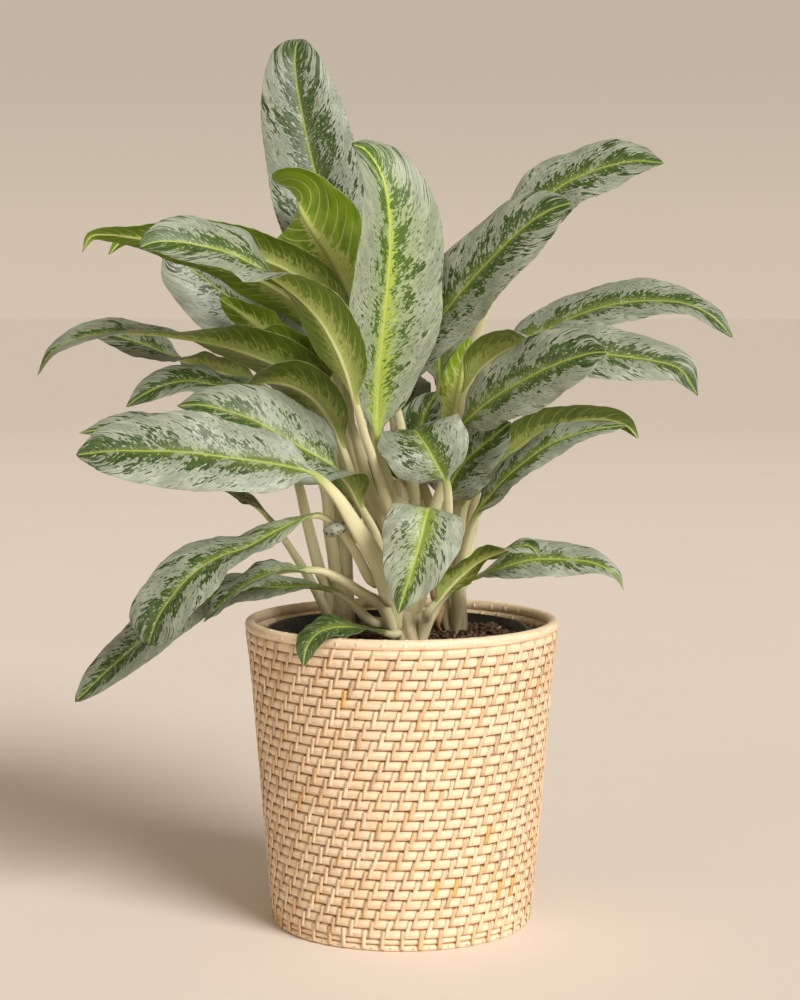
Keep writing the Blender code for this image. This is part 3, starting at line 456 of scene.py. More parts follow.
strips = [(over_rows, row, STRIP_SLANT) for row in range(1, ROWS)]
strips += [(inside_rows, row, -STRIP_SLANT) for row in range(ROWS - INNER_ROWS, ROWS)]
strips += [(over_rim, ROWS, RIM_WRAP_SLANT), (over_foot, 0, FOOT_STRIP_SLANT)]
draws = random.Random(7)
shape = bmesh.new()
for _ in range(len(strips) * STITCHES):
    shape.from_mesh(strip_mesh)
bpy.data.meshes.remove(strip_mesh)
shape.verts.ensure_lookup_table()
tone_layer = shape.verts.layers.float_vector.new("strip_tone")
color_layer = shape.verts.layers.float_color.new("strip_color")
place_layer = shape.verts.layers.float_vector.new("strip_place")


def stitch_angle(row, stitch):
    """Where round the basket the middle of a strip crosses the lower edge of its upper row."""
    return 2 * math.pi * (stitch - row * STITCH_STEP) / STITCHES


for number in range(len(strips) * STITCHES):
    path, row, row_slant = strips[number // STITCHES]
    color = CANE_LIGHT if path is over_rim else draws.choices(STRIP_TONES, STRIP_ODDS)[0]
    light = draws.uniform(*STRIP_LIGHTS)
    slant = row_slant + draws.uniform(-STRIP_LEAN, STRIP_LEAN)
    width = STRIP_WIDTH * draws.uniform(*STRIP_WIDTHS)
    drift = draws.uniform(-STRIP_DRIFT, STRIP_DRIFT)
    for vert in shape.verts[number * strip_verts : (number + 1) * strip_verts]:
        across, out, up = vert.co
        part = up + 0.5
        radius, height = path(row, part)
        next_radius, next_height = path(row, part + 0.01)
        rise = next_height - height
        run = math.hypot(next_radius - radius, rise)
        crown = (out + 0.5) * (1.0 - abs(across)) - 0.5
        proud = crown * STRIP_THICKNESS * (-1 if path is inside_rows else 1)
        angle = stitch_angle(row, number % STITCHES)
        height -= proud * (next_radius - radius) / run
        radius += proud * rise / run
        angle += (across * width + slant * up + drift) / radius
        vert.co = (radius * math.cos(angle), radius * math.sin(angle), height)
        vert[tone_layer] = (number * 1.7, 0.0, 0.0)
        vert[color_layer] = (*(channel * light for channel in color), 1.0)
        vert[place_layer] = (across * width, part * PITCH * 2, up * 2)
bmesh.ops.recalc_face_normals(shape, faces=shape.faces)
basket_strips = add_piece("basket_strips", shape, strip_cane)
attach(basket_strips, "root")
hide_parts("basket")

# Basket: foot and floor
# The wall stands on two thin split cores laid flat on each other and tacked, and a floor of flat
# coils closes it.

FOOT_CORE_HEIGHT = 4.3
FOOT_CORE_FLATNESS = 1.6
FOOT_CORE_INSET = 3.9
FLOOR_INSET = 7.0
FLOOR_TOP = 7.0
FLOOR_COILS = 13
FLOOR_GROOVE = 1.2
FLOOR_LIFT = 0.4
FLOOR_STEPS = 72
TACK_RADIUS = 0.55
TACK_PLACES = (0.45, 0.6)
TACK_DRIFT = 0.015


def spin_outline(shape, outline, steps):
    """Spin an outline of (radius, height) pairs, and close its poles."""
    points = [shape.verts.new((radius, 0.0, height)) for radius, height in outline]
    edges = [shape.edges.new(pair) for pair in zip(points, points[1:])]
    spin_round(shape, points + edges, steps)
    bmesh.ops.remove_doubles(shape, verts=shape.verts, dist=0.001)


shape = bmesh.new()
for level in (FOOT_CORE_HEIGHT / 2, FOOT_ROWS_HEIGHT - FOOT_CORE_HEIGHT / 2):
    radius = wall_radius(0.0) - FOOT_CORE_INSET
    lay_coil(shape, radius, level, FOOT_CORE_HEIGHT / 2, FOOT_CORE_FLATNESS)
outline = [(0.0, FLOOR_LIFT)]
for coil in range(FLOOR_COILS):
    outer = (wall_radius(0.0) - FLOOR_INSET) * (coil + 1) / FLOOR_COILS
    inner = (wall_radius(0.0) - FLOOR_INSET) * coil / FLOOR_COILS
    outline += [((inner * 2 + outer) / 3, 0.0), ((inner + outer * 2) / 3, 0.0)]
    outline.append((outer, FLOOR_GROOVE))
outline += [(outline[-1][0], FLOOR_TOP), (0.0, FLOOR_TOP)]
spin_outline(shape, outline, FLOOR_STEPS)
bmesh.ops.recalc_face_normals(shape, faces=shape.faces)
basket_foot = add_piece("basket_foot", shape, rattan_core)
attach(basket_foot, "root")
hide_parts("basket")

tack_steel, graph, inputs = new_finish("tack_steel", roughness=0.5)
rust = graph.noise(graph.place(), 2600.0)
graph.feed(inputs["Base Color"], graph.mix(rust, (0.05, 0.035, 0.025), (0.20, 0.11, 0.06)))
shape = bmesh.new()
for stitch in range(STITCHES):
    angle = stitch_angle(0, stitch) + math.pi / STITCHES + draws.uniform(-TACK_DRIFT, TACK_DRIFT)
    level = FOOT_CORE_HEIGHT * draws.uniform(*TACK_PLACES)
    place = Matrix.Translation((wall_radius(0.0) - TACK_RADIUS, 0, level))
    place = Matrix.Rotation(angle, 4, "Z") @ place
    bmesh.ops.create_icosphere(shape, subdivisions=1, radius=TACK_RADIUS, matrix=place)
tacks = add_piece("basket_tacks", shape, tack_steel)
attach(tacks, "root")

# Nursery pot
# A thin black pot, moulded in one piece with a thick lip, stands in the basket. Its mouth lies
# just below the basket's rim.

POT_OFFSET_X = -3.0
POT_RIM_RADIUS = 98.4
POT_FOOT = 7.3
POT_INSIDE_FOOT = 9.1
POT_STEPS = 96
POT_PROFILE = (
    (0.0, POT_FOOT), (78.0, POT_FOOT), (80.0, 10.3), (94.5, 206.0), (94.8, 207.0), (98.1, 207.2),
    (POT_RIM_RADIUS, 208.0), (POT_RIM_RADIUS, 218.6), (98.0, 219.6), (97.2, 220.0), (96.2, 219.8),
    (95.8, 219.0), (95.6, 208.0), (93.0, 204.5), (78.2, 11.0), (76.0, POT_INSIDE_FOOT),
    (0.0, POT_INSIDE_FOOT),
)

moulded_plastic, graph, inputs = new_finish("moulded_plastic", 0.38, color=(0.012, 0.012, 0.014))
scuff = graph.noise(graph.place(), 180.0, 3.0)
graph.feed(inputs["Roughness"], graph.ramp(scuff, 0.3, 0.7, 0.30, 0.55))
shape = bmesh.new()
spin_outline(shape, POT_PROFILE, POT_STEPS)
bmesh.ops.translate(shape, vec=(POT_OFFSET_X, 0, 0), verts=shape.verts)
bmesh.ops.recalc_face_normals(shape, faces=shape.faces)
nursery_pot = add_piece("pot_shell", shape, moulded_plastic)
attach(nursery_pot, "root")
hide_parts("nursery_pot")

# Soil
# Damp potting mix of peat and bark crumbs fills the pot, a little lower at the left. Loose bark
# and a few white grains of perlite lie on it.

SOIL_LEVEL = 210.0
SOIL_TILT = 0.028
SOIL_MOUND = 3.0
SOIL_RADIUS = 92.6
SOIL_FOOT = 9.4
SOIL_FOOT_RADIUS = 75.9
SOIL_SIDE_GAP = 0.6
SOIL_SIDE_TOP = SOIL_LEVEL - 8.0
SOIL_RINGS = 34
SOIL_STEPS = 96
CRUMB_HEIGHT = 1.6
CRUMB_SIZE = 14.0
FINE_HEIGHT = 1.1
FINE_SIZE = 4.0
LUMPS = {"bark_crumbs": (1000, 1.1, 3.6), "perlite": (16, 1.0, 2.0)}
LUMP_SINK = 0.35
LUMP_ROUGH = 0.35
PERLITE_SEEN = (77.0, 30.0, 3.4)


def soil_height(x, y):
    """Height of the soil's surface at a place measured from the pot's axis."""
    spread = math.hypot(x, y) / POT_RIM_RADIUS
    crumbs = noise.noise(Vector((x, y, 0.0)) / CRUMB_SIZE) * CRUMB_HEIGHT
    return SOIL_LEVEL + SOIL_TILT * x + SOIL_MOUND * (1.0 - spread**2) + crumbs


potting_mix, graph, inputs = new_finish("potting_mix", roughness=0.9)
place = graph.place()
crumbs = graph.noise(place, 260.0, 5.0, 0.65)
mix = graph.mix(graph.ramp(crumbs, 0.35, 0.65), (0.012, 0.007, 0.004), (0.085, 0.045, 0.024))
mix = graph.mix(graph.ramp(graph.noise(place, 700.0), 0.62, 0.72), mix, (0.22, 0.13, 0.07))
graph.feed(inputs["Base Color"], mix)
graph.feed(inputs["Normal"], graph.bump(crumbs, 0.003, 1.0))

perlite_white, graph, inputs = new_finish("perlite_white", roughness=0.8)
pores = graph.noise(graph.place(), 900.0)
graph.feed(inputs["Base Color"], graph.mix(pores, (0.60, 0.57, 0.50), (0.90, 0.88, 0.83)))
bark_brown, graph, inputs = new_finish("bark_brown", roughness=0.85)
streaks = graph.ramp(graph.noise(graph.place(), 420.0, 3.0), 0.35, 0.7)
graph.feed(inputs["Base Color"], graph.mix(streaks, (0.022, 0.012, 0.007), (0.21, 0.115, 0.062)))

shape = bmesh.new()
outline = [(0.0, SOIL_FOOT), (SOIL_FOOT_RADIUS, SOIL_FOOT)]
outline.append((SOIL_RADIUS - SOIL_SIDE_GAP, SOIL_SIDE_TOP))
for ring in range(SOIL_RINGS + 1):
    outline.append((SOIL_RADIUS * (1.0 - ring / SOIL_RINGS), SOIL_LEVEL))
spin_outline(shape, outline, SOIL_STEPS)
for vert in shape.verts:
    if vert.co.z > SOIL_SIDE_TOP + 1.0:
        fine_place = Vector((vert.co.x, vert.co.y, 0.0)) / FINE_SIZE
        fine = noise.fractal(fine_place, 0.6, 2.0, 3) * FINE_HEIGHT
        vert.co.z = soil_height(vert.co.x, vert.co.y) + fine
bmesh.ops.translate(shape, vec=(POT_OFFSET_X, 0, 0), verts=shape.verts)
bmesh.ops.recalc_face_normals(shape, faces=shape.faces)
soil_bed = add_piece("soil_bed", shape, potting_mix)
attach(soil_bed, "root")
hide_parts("soil")

draws = random.Random(11)
noise.seed_set(5)
for name, (count, least, most) in LUMPS.items():
    shape = bmesh.new()
    for _ in range(count):
        spread = math.sqrt(draws.random()) * (SOIL_RADIUS - 4.0)
        angle = draws.uniform(0, 2 * math.pi)
        x, y = spread * math.cos(angle), spread * math.sin(angle)
        size = draws.uniform(least, most)
        if name == "perlite" and len(shape.verts) == 0:
            x, y, size = PERLITE_SEEN
        flat = (draws.uniform(0.7, 1.9), draws.uniform(0.6, 1.1), draws.uniform(0.35, 0.8), 1.0)
        turned = draws.uniform(0, math.pi)
        turned = Matrix.Rotation(turned, 4, Vector((draws.random(), draws.random(), 1.0)))
        place = Matrix.Translation((x + POT_OFFSET_X, y, soil_height(x, y) + size * LUMP_SINK))
        place = place @ turned @ Matrix.Diagonal(flat)
        lump = bmesh.ops.create_icosphere(shape, subdivisions=1, radius=size, matrix=place)
        for vert in lump["verts"]:
            vert.co += noise.noise_vector(vert.co * 0.45) * size * LUMP_ROUGH
    bmesh.ops.recalc_face_normals(shape, faces=shape.faces)
    lumps = add_piece(name, shape, perlite_white if name == "perlite" else bark_brown)
    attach(lumps, "root")

# Canes
# Five short upright stems carry the leaves. The leaves' pale sheaths clasp them in overlapping
# layers from the soil up, with a thin brown scar where an old leaf came away. Each sheath is
# painted browner at its edge, beside the lip of the sheath lapped over it, as shade.

HOLE_FLOOR = 150.3
CANES = {
    "front": ((6, -30), 10.5, 6.5, 85),
    "centre": ((0, 6), 9.0, 6.0, 122),
    "left": ((-44, 26), 8.5, 6.0, 110),
    "right": ((41, 22), 8.5, 6.0, 114),
    "back": ((2, 47), 8.5, 6.0, 114),
}
CANE_SIDES = 40
CANE_STEP = 2.0
CANE_TOP_START = 0.94
CANE_TOP_TAPER = 2.5
CANE_SKIN = 0.4
CANE_BURIED = 4.0
CANE_ROUGH = 0.4
SHEATH_PROUD = 1.1
SHEATH_COUNT = 2
SHEATH_TWIST = 0.012
SHEATH_SHIFT = 0.07
SHEATH_EDGE = 0.1
SCAR_STEP = 31.0
SCAR_CLIMB = 12.0
BROWN_HEIGHT = 34.0
SHEATH_CREAM = (0.66, 0.605, 0.395)
SHEATH_GREEN = (0.47, 0.48, 0.235)
SHEATH_BROWN = (0.36, 0.225, 0.135)

cane_skin, graph, inputs = new_finish("cane_skin", roughness=0.42)
grain = graph.group(fibre_grain, {
    "Place": graph.place(), "Stretch": (330.0, 330.0, 22.0),
    "Detail": 3.0, "Roughness": 0.6, "Depth": 0.0005, "Strength": 0.5,
})
scar, low, edge = graph.parts(graph.attribute("cane_marks_and_shade"))
skin = graph.mix(graph.ramp(grain["Fibre"], 0.42, 0.70), SHEATH_CREAM, SHEATH_GREEN)
low = graph.times(low, graph.ramp(grain["Fibre"], 0.25, 0.6, 0.3, 0.8))
skin = graph.mix(low, skin, SHEATH_BROWN)
# Scars are painted brown; each sheath's edge, beside the lip lapped over it, is painted browner as
# shade.
skin = graph.mix(graph.times(graph.math("MAXIMUM", scar, edge), 0.5), skin, SHEATH_BROWN)
graph.feed(inputs["Base Color"], skin)
graph.feed(inputs["Normal"], grain["Normal"])

for name, ((x, y), foot_radius, top_radius, length) in CANES.items():
    shape = bmesh.new()
    outline = [(0.0, HOLE_FLOOR), (foot_radius, HOLE_FLOOR)]
    outline.append((foot_radius, SOIL_LEVEL - CANE_BURIED))
    steps = int(length / CANE_STEP)
    for step in range(steps + 1):
        height = length * step / steps
        taper = foot_radius + (top_radius - foot_radius) * height / length
        top = max(0.0, height / length - CANE_TOP_START) / (1.0 - CANE_TOP_START)
        outline.append((taper - CANE_TOP_TAPER * top - CANE_SKIN, SOIL_LEVEL + height))
    outline.append((0.0, SOIL_LEVEL + length + 1.0))
    spin_outline(shape, outline, CANE_SIDES)
    marks_and_shade_layer = shape.verts.layers.float_vector.new("cane_marks_and_shade")
    for vert in shape.verts:
        height = vert.co.z - SOIL_LEVEL
        radius = math.hypot(vert.co.x, vert.co.y)
        turn = math.atan2(vert.co.y, vert.co.x) / (2 * math.pi)
        wrap = (turn * SHEATH_COUNT + height * SHEATH_TWIST + x * SHEATH_SHIFT) % 1.0
        if radius > 1.0 and height > -3.0:
            swell = (SHEATH_PROUD * (1.0 - wrap) ** 3 + radius) / radius
            vert.co.x *= swell
            vert.co.y *= swell
        scar = max(0.0, math.cos(2 * math.pi * (height + x + SCAR_CLIMB * turn) / SCAR_STEP)) ** 40
        # How near the vertex lies to its sheath's edge, beside the next lip; the finish paints
        # shade there.
        edge = max(0.0, wrap - 1.0 + SHEATH_EDGE) / SHEATH_EDGE
        vert[marks_and_shade_layer] = (scar, max(0.0, 1.0 - height / BROWN_HEIGHT), edge)
        vert.co += noise.noise_vector(vert.co * 0.10 + Vector((x, y, 0))) * CANE_ROUGH
    bmesh.ops.translate(shape, vec=(x, y, 0), verts=shape.verts)
    bmesh.ops.recalc_face_normals(shape, faces=shape.faces)
    cane = add_piece("stem_" + name, shape, cane_skin)
    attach(cane, "root")
    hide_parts("cane_" + name)

# Leaves
# Each leaf is one growth: a pale channelled stalk that clasps its cane and runs on as the midrib
# of a thin waved blade. Old blades are silver with dark green along the middle, young ones lime.

STALK_BITE = 1.2
STALK_FULLNESS = 1.12
STALK_TAPER = 1.7
STALK_TOP = 0.62
STALK_BELLY = 1.05
STALK_SIDE = 1.08
STALK_STEPS = 26
PETIOLE_END_RADIUS = 2.8
PETIOLE_LIFT = 0.3
PETIOLE_START = 1.5
SHEATH_DROP = 30.0
SHEATH_ROOM = 3.0
SHEATH_INSET = 0.9
SHEATH_START = 0.35
SHEATH_SHARE = 0.8
STEM_FADE = (-0.12, 0.05)
BLADE_LENGTHS = 68
BLADE_OPEN = 0.14
BLADE_THICKNESS = 0.8
CURL = 0.26
WAVE_HEIGHT = 2.2
WAVE_COUNT = 2.3
WAVE_TURN = 2.4
WAVE_SIDE_TURN = 1.9
WAVE_POWER = 1.6
RIPPLE_HEIGHT = 0.45
RIPPLE_COUNT = 7.0
RIPPLE_SIDE_TURN = 2.2
RIPPLE_POWER = 3
SWAY = 0.025
SWAY_COUNT = 19.0
SWAY_TURN = 1.3
TIP_START = 0.90
TIP_TAPER = 0.35
TIP_HALF_WIDTH = 0.45
MARGIN_THINNING = 0.55
MARGIN_ROUNDNESS = 24
RIB_RADIUS = 2.6
RIB_END_RADIUS = 0.5
RIB_DROP = 1.9
GROOVE = 0.55
GROOVE_SHARE = 0.8
QUILT_HEIGHT = 0.28
VEIN_STEP = 10.0
VEIN_REACH = 0.42
VEIN_BEND = 0.72
FACING_REACH = 4.0
CURVE_STEPS = 10
SKIN_STEPS = 24
PATTERN_STEP = 5.3
PATTERN_SIDE_STEP = 2.6


@dataclass
class Leaf:
    """One leaf as it is sighted from the front.

    Petiole and blade hold points along the leaf's middle line, root to tip, each as (column, row,
    depth): the place in the view's picture, and millimetres behind the basket's axis. Bearing is
    where round the cane the petiole starts, in degrees from +X towards +Y. Faces gives the way the
    upper skin looks at places from 0 to 1 along the blade. Youth runs from 0, silver, to 1, lime.
    """

    name: str
    cane: str
    root_height: float
    bearing: float
    width: float
    petiole: list
    blade: list
    faces: list
    widest: float = 0.42
    fullness: float = 1.3
    fold: float = 0.34
    stalk: float = 4.2
    youth: float = 0.15
    silver: float = 0.5


LEAVES = [
    Leaf(
        "top_tall", cane="back", root_height=96, bearing=180, width=74, fullness=1, youth=0.05,
        silver=0.42,
        petiole=[(378, 430, 44), (363, 365, 44)],
        blade=[(352, 320, 46), (343, 280, 48), (333, 240, 51), (322, 198, 55), (311, 155, 58),
            (303, 118, 60), (297, 84, 62), (295, 60, 66), (297, 44, 74), (302, 39, 84)],
        faces=[(0, (0.15, -1, 0.1)), (0.85, (0, -1, 0.3)), (1, (0, -0.4, 1))],
    ),
    Leaf(
        "centre_tall", cane="centre", root_height=90, bearing=300, width=82, widest=0.52,
        fullness=1.6, fold=0.6, youth=0.75, silver=0.62,
        petiole=[(394, 500, -16), (385, 470, -22)],
        blade=[(378, 441, -30), (378, 400, -38), (381, 350, -49), (387, 290, -57), (390, 235, -61),
            (386, 190, -61), (377, 165, -59), (364, 149, -55), (351, 144, -51)],
        faces=[(0, (0.1, -1, 0.1)), (0.3, (0.55, -0.83, 0)), (1, (0.7, -0.7, 0))],
    ),
    Leaf(
        "young_lime", cane="centre", root_height=112, bearing=110, width=74, widest=0.6,
        fullness=0.95, youth=1, silver=0.3,
        petiole=[(385, 480, 20), (374, 400, 14), (365, 345, 9)],
        blade=[(356, 312, 5), (344, 286, 2), (331, 261, 0), (316, 238, 0), (304, 218, 5),
            (298, 201, 15), (299, 193, 28)],
        faces=[(0, (0.1, 0.95, 0.1)), (0.5, (0.1, 0.95, 0.2)), (1, (0.2, 0.6, 0.7))],
    ),
    Leaf(
        "left_sweep", cane="centre", root_height=66, bearing=240, width=60, widest=0.5,
        fullness=1.15, fold=0.42, youth=0.3,
        petiole=[(389, 510, -30), (377, 470, -46), (365, 435, -59)],
        blade=[(357, 405, -70), (348, 375, -79), (337, 348, -85), (321, 320, -88), (301, 298, -91),
            (279, 281, -95), (255, 266, -101), (232, 254, -108), (207, 247, -117), (180, 242, -125),
            (155, 242, -131), (138, 248, -135)],
        faces=[(0, (0.6, 0.7, 0.3)), (0.2, (0.5, 0.65, 0.5)), (0.38, (0.3, 0.4, 0.85)),
            (0.52, (0, 0, 1)), (0.64, (0, -0.65, 0.75)), (1, (-0.1, -0.85, 0.5))],
    ),
    Leaf(
        "left_arch_high", cane="centre", root_height=106, bearing=175, width=48, fullness=1.7,
        youth=0.35,
        petiole=[(381, 470, 4), (370, 410, 2), (360, 360, 0)],
        blade=[(352, 328, -4), (335, 306, -12), (312, 285, -22), (285, 268, -32), (255, 256, -42),
            (220, 247, -52), (180, 241, -60), (140, 238, -66), (108, 234, -70), (91, 236, -72),
            (82, 253, -70)],
        faces=[(0, (0.2, 0.8, 0.5)), (1, (0.1, 0.6, 0.8))],
    ),
    Leaf(
        "left_arch_low", cane="left", root_height=92, bearing=20, width=44, youth=0.35,
        petiole=[(352, 450, 29), (346, 390, 24)],
        blade=[(336, 345, 17), (315, 318, 4), (288, 296, -4), (255, 277, -14), (222, 262, -22),
            (188, 251, -28), (155, 241, -34), (125, 239, -38), (108, 255, -40)],
        faces=[(0, (0.1, 0.8, 0.6)), (1, (0.1, 0.6, 0.8))],
    ),
    Leaf(
        "left_grey", cane="left", root_height=86, bearing=130, width=68, widest=0.55, fullness=1.1,
        youth=0, silver=0.95,
        petiole=[(330, 450, 44), (333, 400, 48)],
        blade=[(325, 372, 49), (302, 350, 49), (272, 326, 49), (240, 304, 47), (209, 282, 44),
            (183, 262, 42), (166, 246, 40)],
        faces=[(0, (-0.3, -0.8, 0.55))],
    ),
    Leaf(
        "left_lime", cane="left", root_height=98, bearing=175, width=36, youth=0.8, silver=0.4,
        petiole=[(318, 450, 24), (312, 405, 24)],
        blade=[(302, 372, 23), (285, 352, 23), (264, 332, 22), (242, 314, 20), (219, 298, 20)],
        faces=[(0, (0.2, 0.8, 0.5))],
    ),
    Leaf(
        "left_inner", cane="centre", root_height=64, bearing=165, width=40, youth=0.5, silver=0.4,
        petiole=[(372, 520, 14), (355, 460, 13), (340, 418, 10)],
        blade=[(325, 390, 7), (308, 367, 4), (290, 350, 2), (274, 337, 1), (260, 331, 1)],
        faces=[(0, (0.1, 0.8, 0.5))],
    ),
    Leaf(
        "left_long", cane="centre", root_height=80, bearing=200, width=56, fullness=1.45, fold=0.45,
        youth=0.25, silver=0.6,
        petiole=[(374, 500, 2), (363, 465, 0), (353, 430, -1)],
        blade=[(342, 404, -2), (325, 389, -4), (297, 374, -7), (269, 361, -11), (240, 350, -16),
            (210, 342, -23), (180, 337, -30), (145, 333, -38), (109, 333, -44), (75, 340, -46),
            (52, 352, -45), (37, 376, -44)],
        faces=[(0, (0.1, 0.85, 0.5)), (0.4, (0.1, 0.5, 0.85)), (0.55, (0, -0.1, 1)),
            (0.75, (0, -0.3, 0.95)), (1, (-0.2, -0.5, 0.85))],
    ),
    Leaf(
        "left_under_long", cane="left", root_height=60, bearing=225, width=42,
        petiole=[(326, 490, 11), (305, 440, 16), (285, 405, 23)],
        blade=[(262, 387, 27), (240, 378, 27), (215, 370, 25), (190, 362, 21), (165, 353, 16),
            (140, 343, 11), (110, 334, 7), (78, 327, 4)],
        faces=[(0, (0, 0.8, 0.6)), (0.35, (0, 0.5, 0.85)), (0.5, (0, -0.4, 0.9)),
            (1, (-0.1, -0.8, 0.6))],
    ),
    Leaf(
        "left_small", cane="centre", root_height=50, bearing=225, width=50, fold=0.4,
        petiole=[(378, 545, -9), (365, 510, -13), (352, 475, -14)],
        blade=[(343, 450, -15), (330, 420, -17), (312, 397, -20), (290, 385, -24), (265, 381, -26),
            (240, 385, -28), (215, 385, -31), (190, 381, -34), (165, 385, -38), (143, 395, -42),
            (126, 407, -45)],
        faces=[(0, (0.2, 0.8, 0.55)), (0.35, (0.1, 0.6, 0.8)), (0.52, (0, 0, 1)),
            (0.68, (0, -0.5, 0.8)), (1, (0, -0.8, 0.6))],
    ),
    Leaf(
        "left_mid", cane="front", root_height=62, bearing=130, width=66, youth=0.2, silver=0.6,
        petiole=[(385, 570, -24), (376, 535, -30)],
        blade=[(362, 508, -40), (347, 481, -46), (330, 464, -50), (308, 451, -54), (282, 436, -59),
            (256, 421, -62), (228, 411, -64), (200, 405, -66), (177, 406, -67)],
        faces=[(0, (0.4, 0.7, 0.5)), (0.15, (0.3, 0.3, 0.8)), (0.28, (0.1, -0.5, 0.8)),
            (0.4, (0.1, -0.75, 0.65)), (1, (0, -0.8, 0.6))],
    ),
    Leaf(
        "left_front", cane="front", root_height=40, bearing=215, width=60, widest=0.52,
        fullness=1.2, stalk=7.5, youth=0.1, silver=0.55,
        petiole=[(392, 598, -52), (380, 566, -62), (356, 526, -75), (336, 495, -83)],
        blade=[(318, 477, -88), (305, 471, -91), (282, 465, -95), (256, 461, -99), (218, 456, -105),
            (186, 452, -110), (147, 451, -114), (110, 451, -117), (76, 455, -119)],
        faces=[(0, (0.1, -0.85, 0.5))],
    ),
    Leaf(
        "left_behind", cane="left", root_height=34, bearing=180, width=40,
        petiole=[(320, 570, 20), (308, 525, 10), (298, 482, 0)],
        blade=[(288, 458, -8), (262, 442, -18), (220, 433, -30), (170, 428, -42), (120, 427, -52),
            (79, 433, -58)],
        faces=[(0, (0, -0.6, 0.8))],
    ),
    Leaf(
        "left_thin", cane="left", root_height=14, bearing=205, width=34,
        petiole=[(316, 588, 18), (301, 563, 12), (288, 543, 6)],
        blade=[(273, 522, 0), (262, 510, -4), (250, 501, -8), (238, 495, -12), (225, 489, -16),
            (200, 480, -24), (170, 475, -30), (140, 474, -34)],
        faces=[(0, (0.2, -0.2, 1))],
    ),
    Leaf(
        "low_left_a", cane="front", root_height=44, bearing=162, width=54, widest=0.74,
        fullness=1.4,
        petiole=[(374, 582, -47), (354, 548, -58), (338, 527, -64)],
        blade=[(320, 515, -67), (308, 516, -69), (292, 523, -72), (270, 534, -76), (247, 547, -82),
            (224, 555, -88), (206, 564, -92), (188, 578, -97), (171, 598, -102), (157, 620, -105),
            (148, 646, -107)],
        faces=[(0, (0.2, 0.3, 0.9)), (0.12, (0.1, -0.3, 1)), (0.22, (0.1, -0.6, 0.85)),
            (0.36, (0, -0.35, 0.95)), (0.5, (-0.1, -0.45, 0.9)), (0.65, (-0.4, -0.75, 0.5)),
            (1, (-0.5, -0.8, 0.4))],
    ),
    Leaf(
        "low_left_b", cane="front", root_height=20, bearing=200, width=34, fold=0.5, stalk=5.5,
        petiole=[(366, 594, -48), (342, 579, -55), (324, 571, -60)],
        blade=[(306, 569, -63), (288, 570, -66), (268, 575, -68), (250, 583, -70), (234, 594, -71),
            (218, 608, -72), (203, 622, -72)],
        faces=[(0, (0.1, -0.15, 1)), (1, (0, -0.3, 0.95))],
    ),
    Leaf(
        "low_left_c", cane="front", root_height=9, bearing=160, width=44, widest=0.6, stalk=5,
        petiole=[(372, 620, -32), (354, 604, -35)],
        blade=[(338, 592, -37), (315, 586, -37), (285, 587, -36), (255, 587, -35), (232, 589, -35),
            (206, 599, -37), (181, 612, -40), (156, 629, -44), (131, 650, -48), (105, 673, -54),
            (75, 702, -58)],
        faces=[(0, (0, -0.1, 1)), (0.4, (-0.2, -0.6, 0.75)), (0.6, (-0.3, -0.65, 0.7)),
            (1, (-0.4, -0.7, 0.6))],
    ),
    Leaf(
        "rim_leaf", cane="front", root_height=6, bearing=240, width=30, youth=0.12, silver=-0.5,
        petiole=[(392, 634, -56)],
        blade=[(384, 632, -64), (368, 629, -74), (350, 627, -84), (332, 628, -92), (317, 634, -104),
            (307, 648, -114), (303, 667, -119)],
        faces=[(0, (0, -0.1, 1)), (0.5, (0, -0.4, 0.9)), (0.8, (-0.3, -0.8, 0.5)),
            (1, (-0.3, -0.9, 0.3))],
    ),
    Leaf(
        "front_hanging", cane="front", root_height=60, bearing=290, width=56, widest=0.3,
        fullness=1.2, youth=0.35, silver=0.6,
        petiole=[(418, 570, -52), (428, 530, -66)],
        blade=[(430, 510, -78), (427, 514, -90), (423, 532, -97), (418, 551, -101),
            (412, 571, -104), (405, 592, -106), (398, 614, -107)],
        faces=[(0, (0, -0.4, 0.9)), (0.15, (0, -1, 0.3)), (1, (0, -1, 0.3))],
    ),
    Leaf(
        "mid_cup", cane="front", root_height=52, bearing=345, width=64, widest=0.5, fullness=1.1,
        petiole=[(438, 560, -40), (447, 520, -50), (448, 500, -54)],
        blade=[(446, 482, -57), (438, 466, -59), (429, 450, -58), (421, 438, -52), (416, 431, -42),
            (412, 430, -32), (409, 436, -22)],
        faces=[(0, (-0.35, -0.75, 0.5)), (0.5, (-0.3, -0.5, 0.8)), (1, (-0.2, 0.4, 0.9))],
    ),
    Leaf(
        "mid_dark", cane="right", root_height=70, bearing=190, width=38,
        petiole=[(430, 505, 16)],
        blade=[(421, 475, 12), (418, 445, 9), (424, 416, 6), (437, 391, 2)],
        faces=[(0, (0, -0.9, 0.4))],
    ),
    Leaf(
        "right_diag", cane="centre", root_height=100, bearing=340, width=57, widest=0.57,
        fullness=1.2,
        petiole=[(408, 465, -4), (400, 425, -8)],
        blade=[(395, 394, -12), (402, 375, -15), (415, 355, -20), (427, 335, -26), (441, 317, -32),
            (457, 297, -40), (474, 277, -48), (494, 256, -57), (514, 236, -64), (536, 218, -70),
            (557, 207, -73), (572, 203, -75)],
        faces=[(0, (-0.35, -0.85, 0.35))],
    ),
    Leaf(
        "right_top", cane="back", root_height=100, bearing=10, width=55, widest=0.48, fullness=1.25,
        petiole=[(436, 440, 44), (462, 370, 40), (490, 300, 37)],
        blade=[(509, 255, 36), (523, 228, 35), (540, 205, 34), (560, 187, 33), (583, 175, 31),
            (608, 166, 29), (637, 161, 27), (664, 163, 25)],
        faces=[(0, (-0.1, -0.75, 0.65))],
    ),
    Leaf(
        "right_long_high", cane="right", root_height=96, bearing=10, width=54,
        petiole=[(480, 460, 28), (490, 405, 22)],
